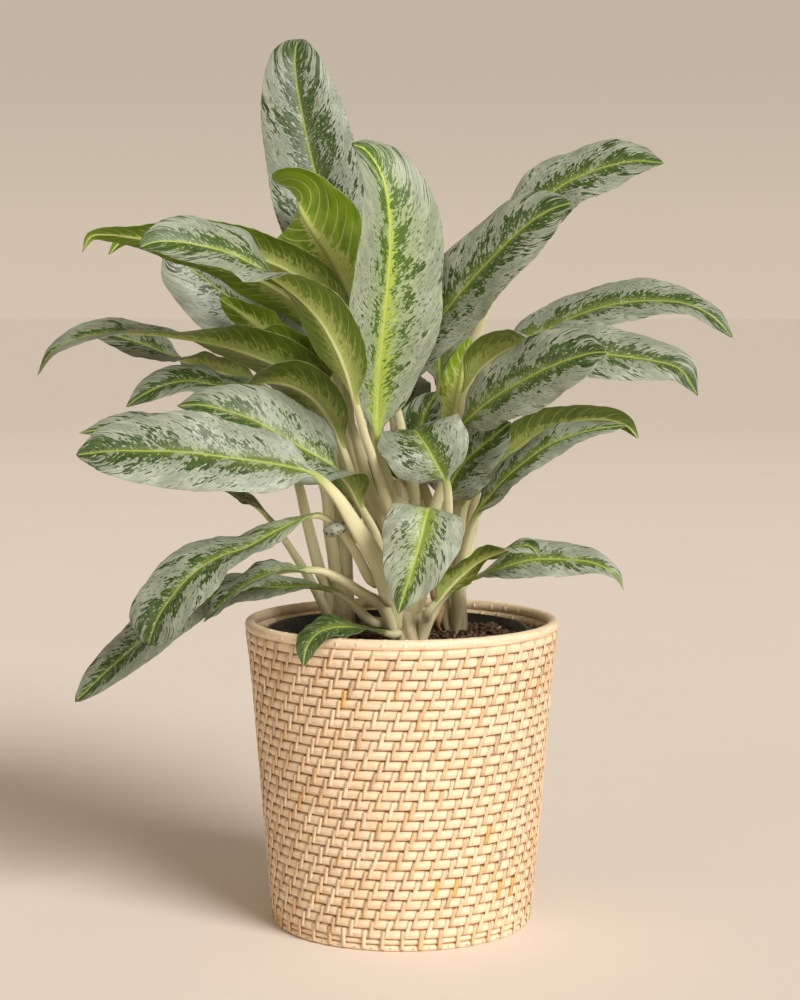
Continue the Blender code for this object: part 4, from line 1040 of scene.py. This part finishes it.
        blade=[(499, 354, 16), (520, 340, 14), (546, 330, 12), (569, 319, 10), (592, 310, 8),
            (615, 304, 6), (640, 301, 4), (665, 301, 2), (690, 305, 0), (713, 317, -2),
            (733, 338, -3)],
        faces=[(0, (0, -0.55, 0.83))],
    ),
    Leaf(
        "right_long_low", cane="right", root_height=80, bearing=330, width=54,
        petiole=[(474, 490, 12), (468, 440, 0), (462, 414, -8)],
        blade=[(464, 394, -14), (480, 370, -21), (499, 353, -27), (525, 342, -33), (548, 340, -38),
            (572, 346, -42), (600, 353, -45), (630, 357, -47), (655, 361, -49), (680, 369, -51),
            (698, 396, -51)],
        faces=[(0, (-0.1, 0.8, 0.6)), (0.3, (0, 0.4, 0.9)), (0.42, (0, -0.4, 0.9)),
            (0.55, (0, -0.8, 0.6)), (1, (0, -0.8, 0.6))],
    ),
    Leaf(
        "right_front", cane="centre", root_height=60, bearing=310, width=58, widest=0.56,
        fullness=1.25,
        petiole=[(424, 545, -14), (436, 505, -20), (450, 462, -28)],
        blade=[(460, 430, -36), (475, 413, -46), (495, 397, -58), (520, 382, -71), (545, 369, -82),
            (570, 359, -91), (592, 353, -97), (607, 352, -100)],
        faces=[(0, (-0.2, -0.85, 0.5))],
    ),
    Leaf(
        "right_low_dark", cane="centre", root_height=36, bearing=350, width=50,
        petiole=[(428, 560, -2), (436, 528, -6)],
        blade=[(444, 503, -10), (452, 482, -13), (465, 462, -16), (482, 446, -19), (498, 433, -21),
            (511, 422, -23)],
        faces=[(0, (-0.1, -0.8, 0.5))],
    ),
    Leaf(
        "right_narrow_a", cane="right", root_height=30, bearing=215, width=36, fold=0.5,
        petiole=[(448, 590, 11), (455, 560, 6), (460, 532, 3)],
        blade=[(464, 508, 1), (472, 491, -1), (488, 472, -4), (510, 453, -7), (535, 435, -10),
            (560, 424, -13), (585, 419, -15), (608, 419, -17), (626, 425, -18), (639, 439, -18)],
        faces=[(0, (-0.2, 0.7, 0.7))],
    ),
    Leaf(
        "right_narrow_b", cane="right", root_height=14, bearing=270, width=30,
        petiole=[(457, 580, 0), (463, 552, -7), (469, 532, -12)],
        blade=[(476, 515, -17), (490, 496, -22), (507, 477, -27), (526, 461, -31), (547, 446, -34),
            (570, 436, -37), (597, 429, -39), (628, 425, -40)],
        faces=[(0, (-0.3, -0.65, 0.7))],
    ),
    Leaf(
        "low_right_a", cane="front", root_height=14, bearing=320, width=32,
        petiole=[(428, 612, -52)],
        blade=[(436, 602, -56), (448, 588, -60), (462, 574, -63), (478, 561, -66), (498, 552, -69),
            (516, 546, -72), (531, 547, -75), (540, 558, -77)],
        faces=[(0, (-0.3, 0.6, 0.7)), (0.6, (-0.1, 0.4, 0.9)), (0.8, (0, -0.4, 0.9)),
            (1, (0.2, -0.6, 0.7))],
    ),
    Leaf(
        "low_right_b", cane="front", root_height=18, bearing=0, width=34, widest=0.38, fullness=1.7,
        petiole=[(440, 600, -32)],
        blade=[(458, 583, -35), (480, 575, -38), (505, 567, -41), (530, 560, -44), (552, 559, -46),
            (572, 560, -48), (590, 562, -50), (606, 568, -52), (618, 577, -53), (624, 591, -54)],
        faces=[(0, (-0.1, 0.3, 0.9)), (0.25, (0, -0.3, 0.95)), (0.4, (0, -0.8, 0.6)),
            (1, (0, -0.8, 0.6))],
    ),
    Leaf(
        "right_lime", cane="right", root_height=90, bearing=215, width=26, youth=0.9, silver=0.4,
        petiole=[(446, 480, 12)],
        blade=[(450, 430, 9), (457, 392, 6), (463, 362, 4), (470, 336, 2)],
        faces=[(0, (0, 0.9, 0.3))],
    ),
    Leaf(
        "back_a", cane="back", root_height=80, bearing=150, width=58,
        petiole=[(378, 460, 62)],
        blade=[(370, 405, 80), (362, 355, 115), (356, 328, 155), (352, 338, 198), (350, 362, 235)],
        faces=[(0, (0, -0.5, 0.8)), (1, (0, 0.4, 0.8))],
    ),
    Leaf(
        "back_b", cane="back", root_height=58, bearing=170, width=56,
        petiole=[(368, 500, 56)],
        blade=[(345, 420, 70), (315, 365, 102), (287, 340, 138), (262, 346, 175), (245, 368, 208)],
        faces=[(0, (0.2, -0.5, 0.8)), (1, (-0.2, 0.5, 0.8))],
    ),
    Leaf(
        "back_c", cane="right", root_height=92, bearing=110, width=54,
        petiole=[(440, 450, 52)],
        blade=[(440, 385, 68), (440, 340, 105), (446, 305, 145), (458, 284, 182), (470, 290, 215)],
        faces=[(0, (-0.2, -0.6, 0.8)), (1, (0.2, 0.4, 0.8))],
    ),
    Leaf(
        "back_d", cane="left", root_height=48, bearing=110, width=56,
        petiole=[(345, 520, 52)],
        blade=[(338, 472, 65), (315, 434, 100), (290, 416, 141), (262, 426, 179), (240, 450, 208)],
        faces=[(0, (0.2, -0.5, 0.8)), (1, (-0.2, 0.5, 0.8))],
    ),
    Leaf(
        "back_e", cane="right", root_height=62, bearing=30, width=50,
        petiole=[(474, 505, 40)],
        blade=[(472, 445, 56), (476, 412, 90), (485, 394, 130), (496, 389, 170), (507, 398, 200)],
        faces=[(0, (-0.2, -0.5, 0.8)), (1, (0.2, 0.5, 0.8))],
    ),
    Leaf(
        "back_f", cane="back", root_height=104, bearing=85, width=60,
        petiole=[(395, 420, 70)],
        blade=[(388, 310, 80), (378, 248, 108), (366, 212, 140), (354, 196, 175), (347, 205, 208)],
        faces=[(0, (0, -0.7, 0.6)), (1, (0, 0.4, 0.8))],
    ),
    Leaf(
        "back_g", cane="back", root_height=44, bearing=110, width=52,
        petiole=[(392, 540, 72)],
        blade=[(388, 512, 90), (382, 480, 120), (376, 462, 162), (371, 478, 208)],
        faces=[(0, (0, -0.5, 0.8)), (1, (0, 0.5, 0.8))],
    ),
    Leaf(
        "back_h", cane="left", root_height=74, bearing=85, width=58,
        petiole=[(338, 450, 52)],
        blade=[(336, 375, 65), (312, 318, 105), (286, 290, 148), (262, 284, 188), (240, 294, 220)],
        faces=[(0, (0.3, -0.6, 0.7)), (1, (-0.2, 0.4, 0.8))],
    ),
    Leaf(
        "back_i", cane="right", root_height=104, bearing=60, width=48,
        petiole=[(462, 460, 46)],
        blade=[(460, 405, 60), (464, 368, 100), (470, 350, 140), (482, 352, 180)],
        faces=[(0, (-0.2, -0.6, 0.7)), (1, (0.2, 0.5, 0.8))],
    ),
    Leaf(
        "back_j", cane="back", root_height=70, bearing=30, width=48,
        petiole=[(420, 480, 60)],
        blade=[(412, 432, 80), (402, 395, 118), (396, 376, 162), (394, 388, 210)],
        faces=[(0, (0, -0.5, 0.8)), (1, (0, 0.5, 0.8))],
    ),
    Leaf(
        "back_k", cane="back", root_height=22, bearing=60, width=48,
        petiole=[(412, 590, 72)],
        blade=[(412, 565, 92), (412, 546, 128), (414, 550, 172), (416, 582, 212)],
        faces=[(0, (0, -0.5, 0.8)), (1, (0, 0.5, 0.8))],
    ),
]


def between(at, start, end, first, second):
    """The point at a place on the way from the first point, at start, to the second, at end."""
    return (end - at) / (end - start) * first + (at - start) / (end - start) * second


def running_lengths(points, power=1.0):
    """The running sum of the steps between points, each step raised to a power."""
    steps = np.linalg.norm(np.diff(points, axis=0), axis=1) ** power
    return np.concatenate([[0.0], np.cumsum(steps)])


def smooth_curve(points):
    """Points along a centripetal Catmull-Rom curve through the given points."""
    points = np.array(points, float)
    before, after = 2 * points[0] - points[1], 2 * points[-1] - points[-2]
    through = np.concatenate([[before], points, [after]])
    knots = running_lengths(through, 0.5)
    curve = []
    for k in range(1, len(through) - 2):
        p0, p1, p2, p3 = through[k - 1 : k + 3]
        t0, t1, t2, t3 = knots[k - 1 : k + 3]
        for t in np.linspace(t1, t2, CURVE_STEPS, endpoint=False):
            first = between(t, t0, t1, p0, p1)
            middle = between(t, t1, t2, p1, p2)
            last = between(t, t2, t3, p2, p3)
            first, last = between(t, t0, t2, first, middle), between(t, t1, t3, middle, last)
            curve.append(between(t, t1, t2, first, last))
    return np.array([*curve, points[-1]])


def smooth_step(values, start, end):
    part = np.clip((values - start) / (end - start), 0.0, 1.0)
    return part * part * (3 - 2 * part)


def along_line(curve, lengths, at):
    return np.stack([np.interp(at, lengths, curve[:, k]) for k in range(3)], axis=-1)


def unit(vectors):
    return vectors / np.linalg.norm(vectors, axis=-1, keepdims=True)


def leaf_line(leaf):
    """The line from the sheath's foot to the tip, its lengths, and the petiole's length."""
    (x, y), foot_radius, top_radius, length = CANES[leaf.cane]
    angle = math.radians(leaf.bearing)
    away = np.array((math.cos(angle), math.sin(angle), 0.0))
    cane_radius = foot_radius + (top_radius - foot_radius) * min(leaf.root_height / length, 1.0)
    reach = cane_radius + leaf.stalk - STALK_BITE
    root = np.array((x, y, SOIL_LEVEL + leaf.root_height)) + away * reach
    petiole = [np.array(sighted(*point)) for point in leaf.petiole]
    blade = [np.array(sighted(*point)) for point in leaf.blade]
    step = petiole[0] - root
    lift = np.array((0.0, 0.0, np.linalg.norm(step[:2]) * PETIOLE_LIFT))
    rise = root + step * PETIOLE_LIFT + away * PETIOLE_START + lift
    drop = np.array((0.0, 0.0, min(leaf.root_height + SHEATH_ROOM, SHEATH_DROP)))
    foot = root - away * leaf.stalk * SHEATH_INSET - drop
    curve = smooth_curve([foot, root, rise, *petiole, *blade])
    lengths = running_lengths(curve)
    return curve, lengths, lengths[np.argmin(np.linalg.norm(curve - blade[0], axis=1))]


def leaf_skin(leaf, order):
    """Points of the closed skin by station and by step round it, with the values that paint it.

    A ring starts at one margin, crosses the upper side to the other and comes back underneath.
    """
    curve, lengths, petiole_length = leaf_line(leaf)
    blade_length = lengths[-1] - petiole_length
    stalk = np.linspace(-1.0, 0.0, STALK_STEPS, endpoint=False)
    stations = np.concatenate([stalk, np.linspace(0.0, 1.0, BLADE_LENGTHS + 1)])
    place = np.clip(stations, 0.0, 1.0)
    reach = petiole_length * (1.0 + np.minimum(stations, 0.0)) + blade_length * place
    centre = along_line(curve, lengths, reach)
    ahead = along_line(curve, lengths, reach + FACING_REACH)
    tangent = unit(ahead - along_line(curve, lengths, reach - FACING_REACH))
    keys = np.array([key for key, _ in leaf.faces])
    look = along_line(np.array([face for _, face in leaf.faces]), keys, place)
    upper = unit(look - tangent * np.sum(look * tangent, -1, keepdims=True))
    side = np.cross(tangent, upper)

    def laid(sideways, height):
        """Points beside the middle line and above it."""
        beside = side[:, None] * sideways[..., None]
        return centre[:, None] + beside + upper[:, None] * height[..., None]

    rise = np.maximum(place, 1e-6) / leaf.widest
    fall = np.maximum(1.0 - place, 1e-6) / (1.0 - leaf.widest)
    spread = (rise**leaf.widest * fall ** (1.0 - leaf.widest)) ** leaf.fullness
    spread *= 1.0 + SWAY * np.sin(place * SWAY_COUNT + order * SWAY_TURN)
    half = leaf.width / 2 * spread * (1.0 - TIP_TAPER * smooth_step(place, TIP_START, 1.0))
    half = np.maximum(half, TIP_HALF_WIDTH)[:, None]

    place = place[:, None]
    step = np.linspace(0.0, 2.0, 2 * SKIN_STEPS + 1)
    on_top = step <= 1.0
    sweep = np.where(on_top, 2 * step - 1, 3 - 2 * step)
    across = np.sign(sweep) * (1.0 - np.cos(math.pi * np.abs(sweep))) / 2
    share = np.abs(across)
    out = half * share
    phase = order * WAVE_TURN
    turn = 2 * math.pi * WAVE_COUNT * place + phase + np.where(across < 0, WAVE_SIDE_TURN, 0)
    quick = 2 * math.pi * RIPPLE_COUNT * place + phase * 3
    quick = quick + np.where(across < 0, RIPPLE_SIDE_TURN, 0)
    swell = np.sqrt(np.sin(math.pi * place))
    vein = blade_length * place + leaf.width * VEIN_REACH * np.log(1.0 - VEIN_BEND * share)
    lift = half * (leaf.fold * share - CURL * share**2)
    lift = lift + WAVE_HEIGHT * share**WAVE_POWER * np.sin(turn) * swell
    lift += RIPPLE_HEIGHT * share**RIPPLE_POWER * np.sin(quick) * swell
    lift += QUILT_HEIGHT * np.sin(2 * math.pi * vein / VEIN_STEP) * share * swell
    rib = RIB_RADIUS + (RIB_END_RADIUS - RIB_RADIUS) * place
    top = lift - GROOVE * (rib / RIB_RADIUS) * np.exp(-((out / (rib * GROOVE_SHARE)) ** 2))
    thick = BLADE_THICKNESS * (1.0 - MARGIN_THINNING * share**2) * (1.0 - share**MARGIN_ROUNDNESS)
    drop = RIB_DROP * (rib / RIB_RADIUS) * np.exp(-((out / rib) ** 2))
    blade = laid(half * across, np.where(on_top, top, lift - thick - drop))

    wide = leaf.stalk * STALK_FULLNESS
    radius = wide + (PETIOLE_END_RADIUS - wide) * np.clip(1 + stations, 0, 1) ** STALK_TAPER
    sheath = smooth_step(reach, 0.0, SHEATH_DROP * SHEATH_SHARE)
    radius *= SHEATH_START + (1.0 - SHEATH_START) * sheath
    radius[0] = 0.0
    radius = radius[:, None]
    angle = math.pi * (1.0 - step)
    level = np.where(on_top, STALK_TOP, STALK_BELLY) * np.sin(angle)
    tube = laid(radius * STALK_SIDE * np.cos(angle), radius * level)
    grown = smooth_step(place, 0.0, BLADE_OPEN)[..., None]
    skin = tube * (1 - grown) + blade * grown
    skin[-1] = centre[-1]

    number = order * PATTERN_STEP + np.where(across < 0, PATTERN_SIDE_STEP, 0.0)
    stem = 1.0 - smooth_step(stations, *STEM_FADE)[:, None]
    values = {
        "leaf_vein": (vein, out, number),
        "leaf_share": (share, place, stem),
        "leaf_kind": (leaf.youth, leaf.silver, 0 * out),
    }
    return skin, {name: np.stack(np.broadcast_arrays(*parts), -1) for name, parts in values.items()}


SILVER = (0.232, 0.266, 0.206)
SILVER_PALE = (0.365, 0.397, 0.316)
SILVER_MID = (0.155, 0.195, 0.130)
SILVER_LIME = (0.36, 0.46, 0.19)
DEEP_GREEN = (0.019, 0.038, 0.010)
MID_GREEN = (0.060, 0.098, 0.024)
LIME_GREEN = (0.085, 0.175, 0.012)
RIB_YELLOW = (0.27, 0.37, 0.055)
RIB_LIME = (0.54, 0.64, 0.13)
MARGIN_PALE = (0.42, 0.48, 0.24)
STALK_CREAM = (0.68, 0.635, 0.40)
STALK_GREEN = (0.46, 0.50, 0.20)
UNDER_DARK = (0.040, 0.068, 0.008)
UNDER_MID = (0.100, 0.140, 0.020)
UNDER_HALO = (0.42, 0.50, 0.145)
UNDER_LIME_HALO = (0.74, 0.80, 0.25)
UNDER_VEIN = (0.30, 0.38, 0.08)
UNDER_RIB_BASE = (0.66, 0.67, 0.36)
UNDER_RIB = (0.46, 0.53, 0.15)
UNDER_LIME = (0.33, 0.50, 0.03)
UNDER_LIME_DEEP = (0.20, 0.34, 0.015)
UNDER_LIME_VEIN = (0.74, 0.80, 0.24)
LEAF_SHEEN = 0.35
LEAST_RIB = 0.05

# The values of the marks that both sides of a blade share: upper side, underside.
SIDE_MARKS = {
    "Halo Width": (9.0, 17.0), "Halo Growth": (0.0, 12.0), "Halo End": (1.04, 1.0),
    "Halo Taper": (1.0, 1.5), "Halo Fray": (5.5, 4.0), "Halo Edge": (0.55, 0.45),
    "Halo Strength": (0.05, 0.5), "Halo Youth": (0.85, 0.35), "Rib Width": (0.8, 1.3),
    "Rib Edge": (0.65, 1.0), "Margin Start": (0.975, 0.965), "Margin End": (0.996, 0.99),
    "Margin Strength": (0.6, 0.7), "Stalk Cream": (0.75, 0.8),
}
MASKS = ("Vein", "Out", "Number", "Share", "Place", "Stem", "Youth")
MASKS += ("Streak", "Patch", "Dark", "Halo", "Rib", "Margin")
MARKS = {**dict.fromkeys(MASKS, "Float"), "Stalk": "Color"}
leaf_marks, graph, takes, gives = new_group("leaf_marks", dict.fromkeys(SIDE_MARKS, "Float"), MARKS)
vein, out, number = graph.parts(graph.attribute("leaf_vein"))
share, place, stem = graph.parts(graph.attribute("leaf_share"))
youth, silver, _ = graph.parts(graph.attribute("leaf_kind"))
streak = graph.noise(graph.vector((vein, 0.50), (out, 0.27), number), 1.0, 2.5, 0.55)
patch = graph.noise(graph.vector((vein, 0.075), (out, 0.085), number), 1.0, 2.5, 0.6)
dark = graph.times(graph.ramp(share, 0.80, 0.0), 0.70)
dark = graph.sway(silver, -0.8, graph.sway(patch, 2.9, graph.sway(streak, 1.8, dark)))
dark = graph.math("ADD", dark, graph.ramp(place, 0.80, 1.0, 0.0, 0.45))
dark = graph.ramp(dark, 0.33, 0.42)
width = graph.math("POWER", graph.math("SUBTRACT", takes["Halo End"], place), takes["Halo Taper"])
width = graph.times(width, graph.line(youth, takes["Halo Growth"], takes["Halo Width"]))
width = graph.times(width, graph.sway(streak, takes["Halo Fray"], 1.0))
halo = graph.ramp(graph.math("DIVIDE", out, width), 1.0, takes["Halo Edge"])
halo = graph.times(halo, graph.line(youth, takes["Halo Youth"], takes["Halo Strength"]))
width = graph.line(graph.math("SUBTRACT", 1.0, place), takes["Rib Width"], LEAST_RIB)
rib = graph.ramp(graph.math("SUBTRACT", out, width), takes["Rib Edge"], 0.0)
margin = (takes["Margin Start"], takes["Margin End"], 0.0, takes["Margin Strength"])
margin = graph.ramp(share, *margin)
stalk = graph.mix(graph.ramp(streak, 0.3, 0.7), STALK_CREAM, STALK_GREEN)
stalk = graph.mix(takes["Stalk Cream"], stalk, STALK_CREAM)
masks = (vein, out, number, share, place, stem, youth, streak, patch, dark, halo, rib, margin)
for mark, value in zip(MARKS, (*masks, stalk)):
    graph.feed(gives[mark], value)

leaf_upper, graph, inputs = new_finish("leaf_upper", roughness=0.38)
marks = graph.group(leaf_marks, {mark: sides[0] for mark, sides in SIDE_MARKS.items()})
share, youth, streak, dark = (marks[mark] for mark in ("Share", "Youth", "Streak", "Dark"))
fleck = graph.vector((marks["Vein"], 0.62), (marks["Out"], 0.48), marks["Number"])
fleck = graph.noise(fleck, 1.0, 1.5)
light = graph.mix(graph.ramp(marks["Patch"], 0.35, 0.65), SILVER, SILVER_PALE)
light = graph.mix(graph.ramp(fleck, 0.48, 0.62, 0.0, 0.45), light, SILVER_MID)
near = graph.times(youth, graph.ramp(share, 0.75, 0.1, 0.15, 0.9))
light = graph.mix(near, light, SILVER_LIME)
deep = graph.mix(graph.ramp(streak, 0.42, 0.66), MID_GREEN, DEEP_GREEN)
deep = graph.mix(near, deep, LIME_GREEN)
green = graph.mix(dark, light, deep)
rare = graph.math("SUBTRACT", fleck, graph.ramp(share, 0.3, 0.95, 0.0, 0.055))
rare = graph.ramp(graph.math("SUBTRACT", 1.22, rare), 0.62, 0.58, 0.0, 0.9)
green = graph.mix(rare, green, deep)
green = graph.mix(graph.times(graph.ramp(fleck, 0.37, 0.33), dark), green, light)
green = graph.mix(marks["Halo"], green, RIB_LIME)
yellow = graph.mix(youth, RIB_YELLOW, RIB_LIME)
green = graph.mix(graph.times(marks["Rib"], 0.85), green, yellow)
green = graph.mix(marks["Margin"], green, MARGIN_PALE)
graph.feed(inputs["Base Color"], graph.mix(marks["Stem"], green, marks["Stalk"]))
graph.feed(inputs["Normal"], graph.bump(graph.math("ADD", streak, fleck), 0.0005, 0.4))
graph.feed(inputs["Specular IOR Level"], LEAF_SHEEN)

leaf_under, graph, inputs = new_finish("leaf_under", roughness=0.42)
marks = graph.group(leaf_marks, {mark: sides[1] for mark, sides in SIDE_MARKS.items()})
share, youth, streak = (marks[mark] for mark in ("Share", "Youth", "Streak"))
green = graph.mix(graph.ramp(streak, 0.35, 0.65), UNDER_MID, UNDER_DARK)
lime = graph.mix(graph.ramp(marks["Patch"], 0.35, 0.65), UNDER_LIME, UNDER_LIME_DEEP)
green = graph.mix(youth, green, lime)
beat = graph.math("PINGPONG", graph.math("DIVIDE", marks["Vein"], VEIN_STEP), 0.5)
line = graph.times(graph.ramp(beat, 0.11, 0.02), graph.ramp(share, 0.95, 0.6, 0.05, 0.8))
line = graph.times(line, graph.line(youth, 0.6, 0.4))
green = graph.mix(line, green, graph.mix(youth, UNDER_VEIN, UNDER_LIME_VEIN))
green = graph.mix(marks["Halo"], green, graph.mix(youth, UNDER_HALO, UNDER_LIME_HALO))
pale = graph.mix(graph.ramp(marks["Place"], 0.0, 0.55), UNDER_RIB_BASE, UNDER_RIB)
green = graph.mix(marks["Rib"], green, pale)
green = graph.mix(marks["Margin"], green, MARGIN_PALE)
graph.feed(inputs["Base Color"], graph.mix(marks["Stem"], green, marks["Stalk"]))
graph.feed(inputs["Normal"], graph.bump(graph.math("ADD", line, streak), 0.0006, 0.5))
graph.feed(inputs["Specular IOR Level"], LEAF_SHEEN)

for order, leaf in enumerate(LEAVES):
    skin, values = leaf_skin(leaf, order)
    stations, steps = skin.shape[0] - 1, skin.shape[1] - 1
    shape = bmesh.new()
    bmesh.ops.create_grid(shape, x_segments=steps, y_segments=stations, size=1.0)
    for face in shape.faces:
        face.material_index = 0 if face.calc_center_median().x < 0 else 1
    layers = {name: shape.verts.layers.float_vector.new(name) for name in values}
    for vert in shape.verts:
        along = round((vert.co.y + 1) / 2 * stations)
        round_it = round((vert.co.x + 1) / 2 * steps)
        vert.co = skin[along, round_it]
        for name, layer in layers.items():
            vert[layer] = values[name][along, round_it]
    bmesh.ops.remove_doubles(shape, verts=shape.verts, dist=0.01)
    bmesh.ops.recalc_face_normals(shape, faces=shape.faces)
    grown = add_piece("blade_" + leaf.name, shape, leaf_upper, leaf_under)
    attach(grown, "root")
    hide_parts("leaf_" + leaf.name)

# Dry bits
# A few papery brown ends of old sheaths stand at the foot of the stems, and one small silver leaf
# end is rolled up on a stalk at the left.

BIT_THICKNESS = 0.35
BIT_ROWS = 9
BIT_COLUMNS = 8
BIT_LEAN = 0.4
BIT_END_WIDTH = 0.35
BIT_ROUNDING = (0.12, 0.88)
BITS = (
    ("dry_sheath_high", 8.0, 150.0, ((436, 606, -18), (433, 590, -17), (437, 572, -14))),
    ("dry_sheath_low", 9.0, 120.0, ((444, 632, -24), (439, 617, -26), (443, 602, -27))),
    ("rolled_end", 27.0, 290.0, ((325, 532, -66), (335, 529, -70), (345, 526, -72))),
)

dry_paper, graph, inputs = new_finish("dry_paper", roughness=0.7)
grain = graph.noise(graph.place(), 420.0, 3.0)
graph.feed(inputs["Base Color"], graph.mix(grain, (0.20, 0.095, 0.035), (0.52, 0.33, 0.17)))
rolled_silver, graph, inputs = new_finish("rolled_silver", roughness=0.4)
grain = graph.ramp(graph.noise(graph.place(), 330.0, 3.0), 0.35, 0.5)
graph.feed(inputs["Base Color"], graph.mix(grain, MID_GREEN, SILVER_PALE))

for name, width, curl, path in BITS:
    line = smooth_curve([sighted(*point) for point in path])
    rows = along_line(line, np.linspace(0.0, 1.0, len(line)), np.linspace(0.0, 1.0, BIT_ROWS))
    ahead = unit(np.gradient(rows, axis=0))
    front = unit(np.cross(ahead, (0.0, 0.0, 1.0)) - (0.0, BIT_LEAN, 0.0))
    side = np.cross(ahead, front)
    bulge = np.sin(math.pi * np.linspace(*BIT_ROUNDING, BIT_ROWS))
    reach = width * (BIT_END_WIDTH + (1.0 - BIT_END_WIDTH) * bulge) / math.radians(curl)
    shape = bmesh.new()
    bmesh.ops.create_grid(shape, x_segments=BIT_COLUMNS, y_segments=BIT_ROWS - 1, size=1.0)
    for vert in shape.verts:
        row = round((vert.co.y + 1) / 2 * (BIT_ROWS - 1))
        turn = vert.co.x / 2 * math.radians(curl)
        beside = side[row] * reach[row] * math.sin(turn)
        vert.co = rows[row] + beside + front[row] * reach[row] * math.cos(turn)
    bmesh.ops.solidify(shape, geom=shape.faces[:], thickness=BIT_THICKNESS)
    bmesh.ops.recalc_face_normals(shape, faces=shape.faces)
    bit = add_piece(name, shape, rolled_silver if name == "rolled_end" else dry_paper)
    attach(bit, "root")
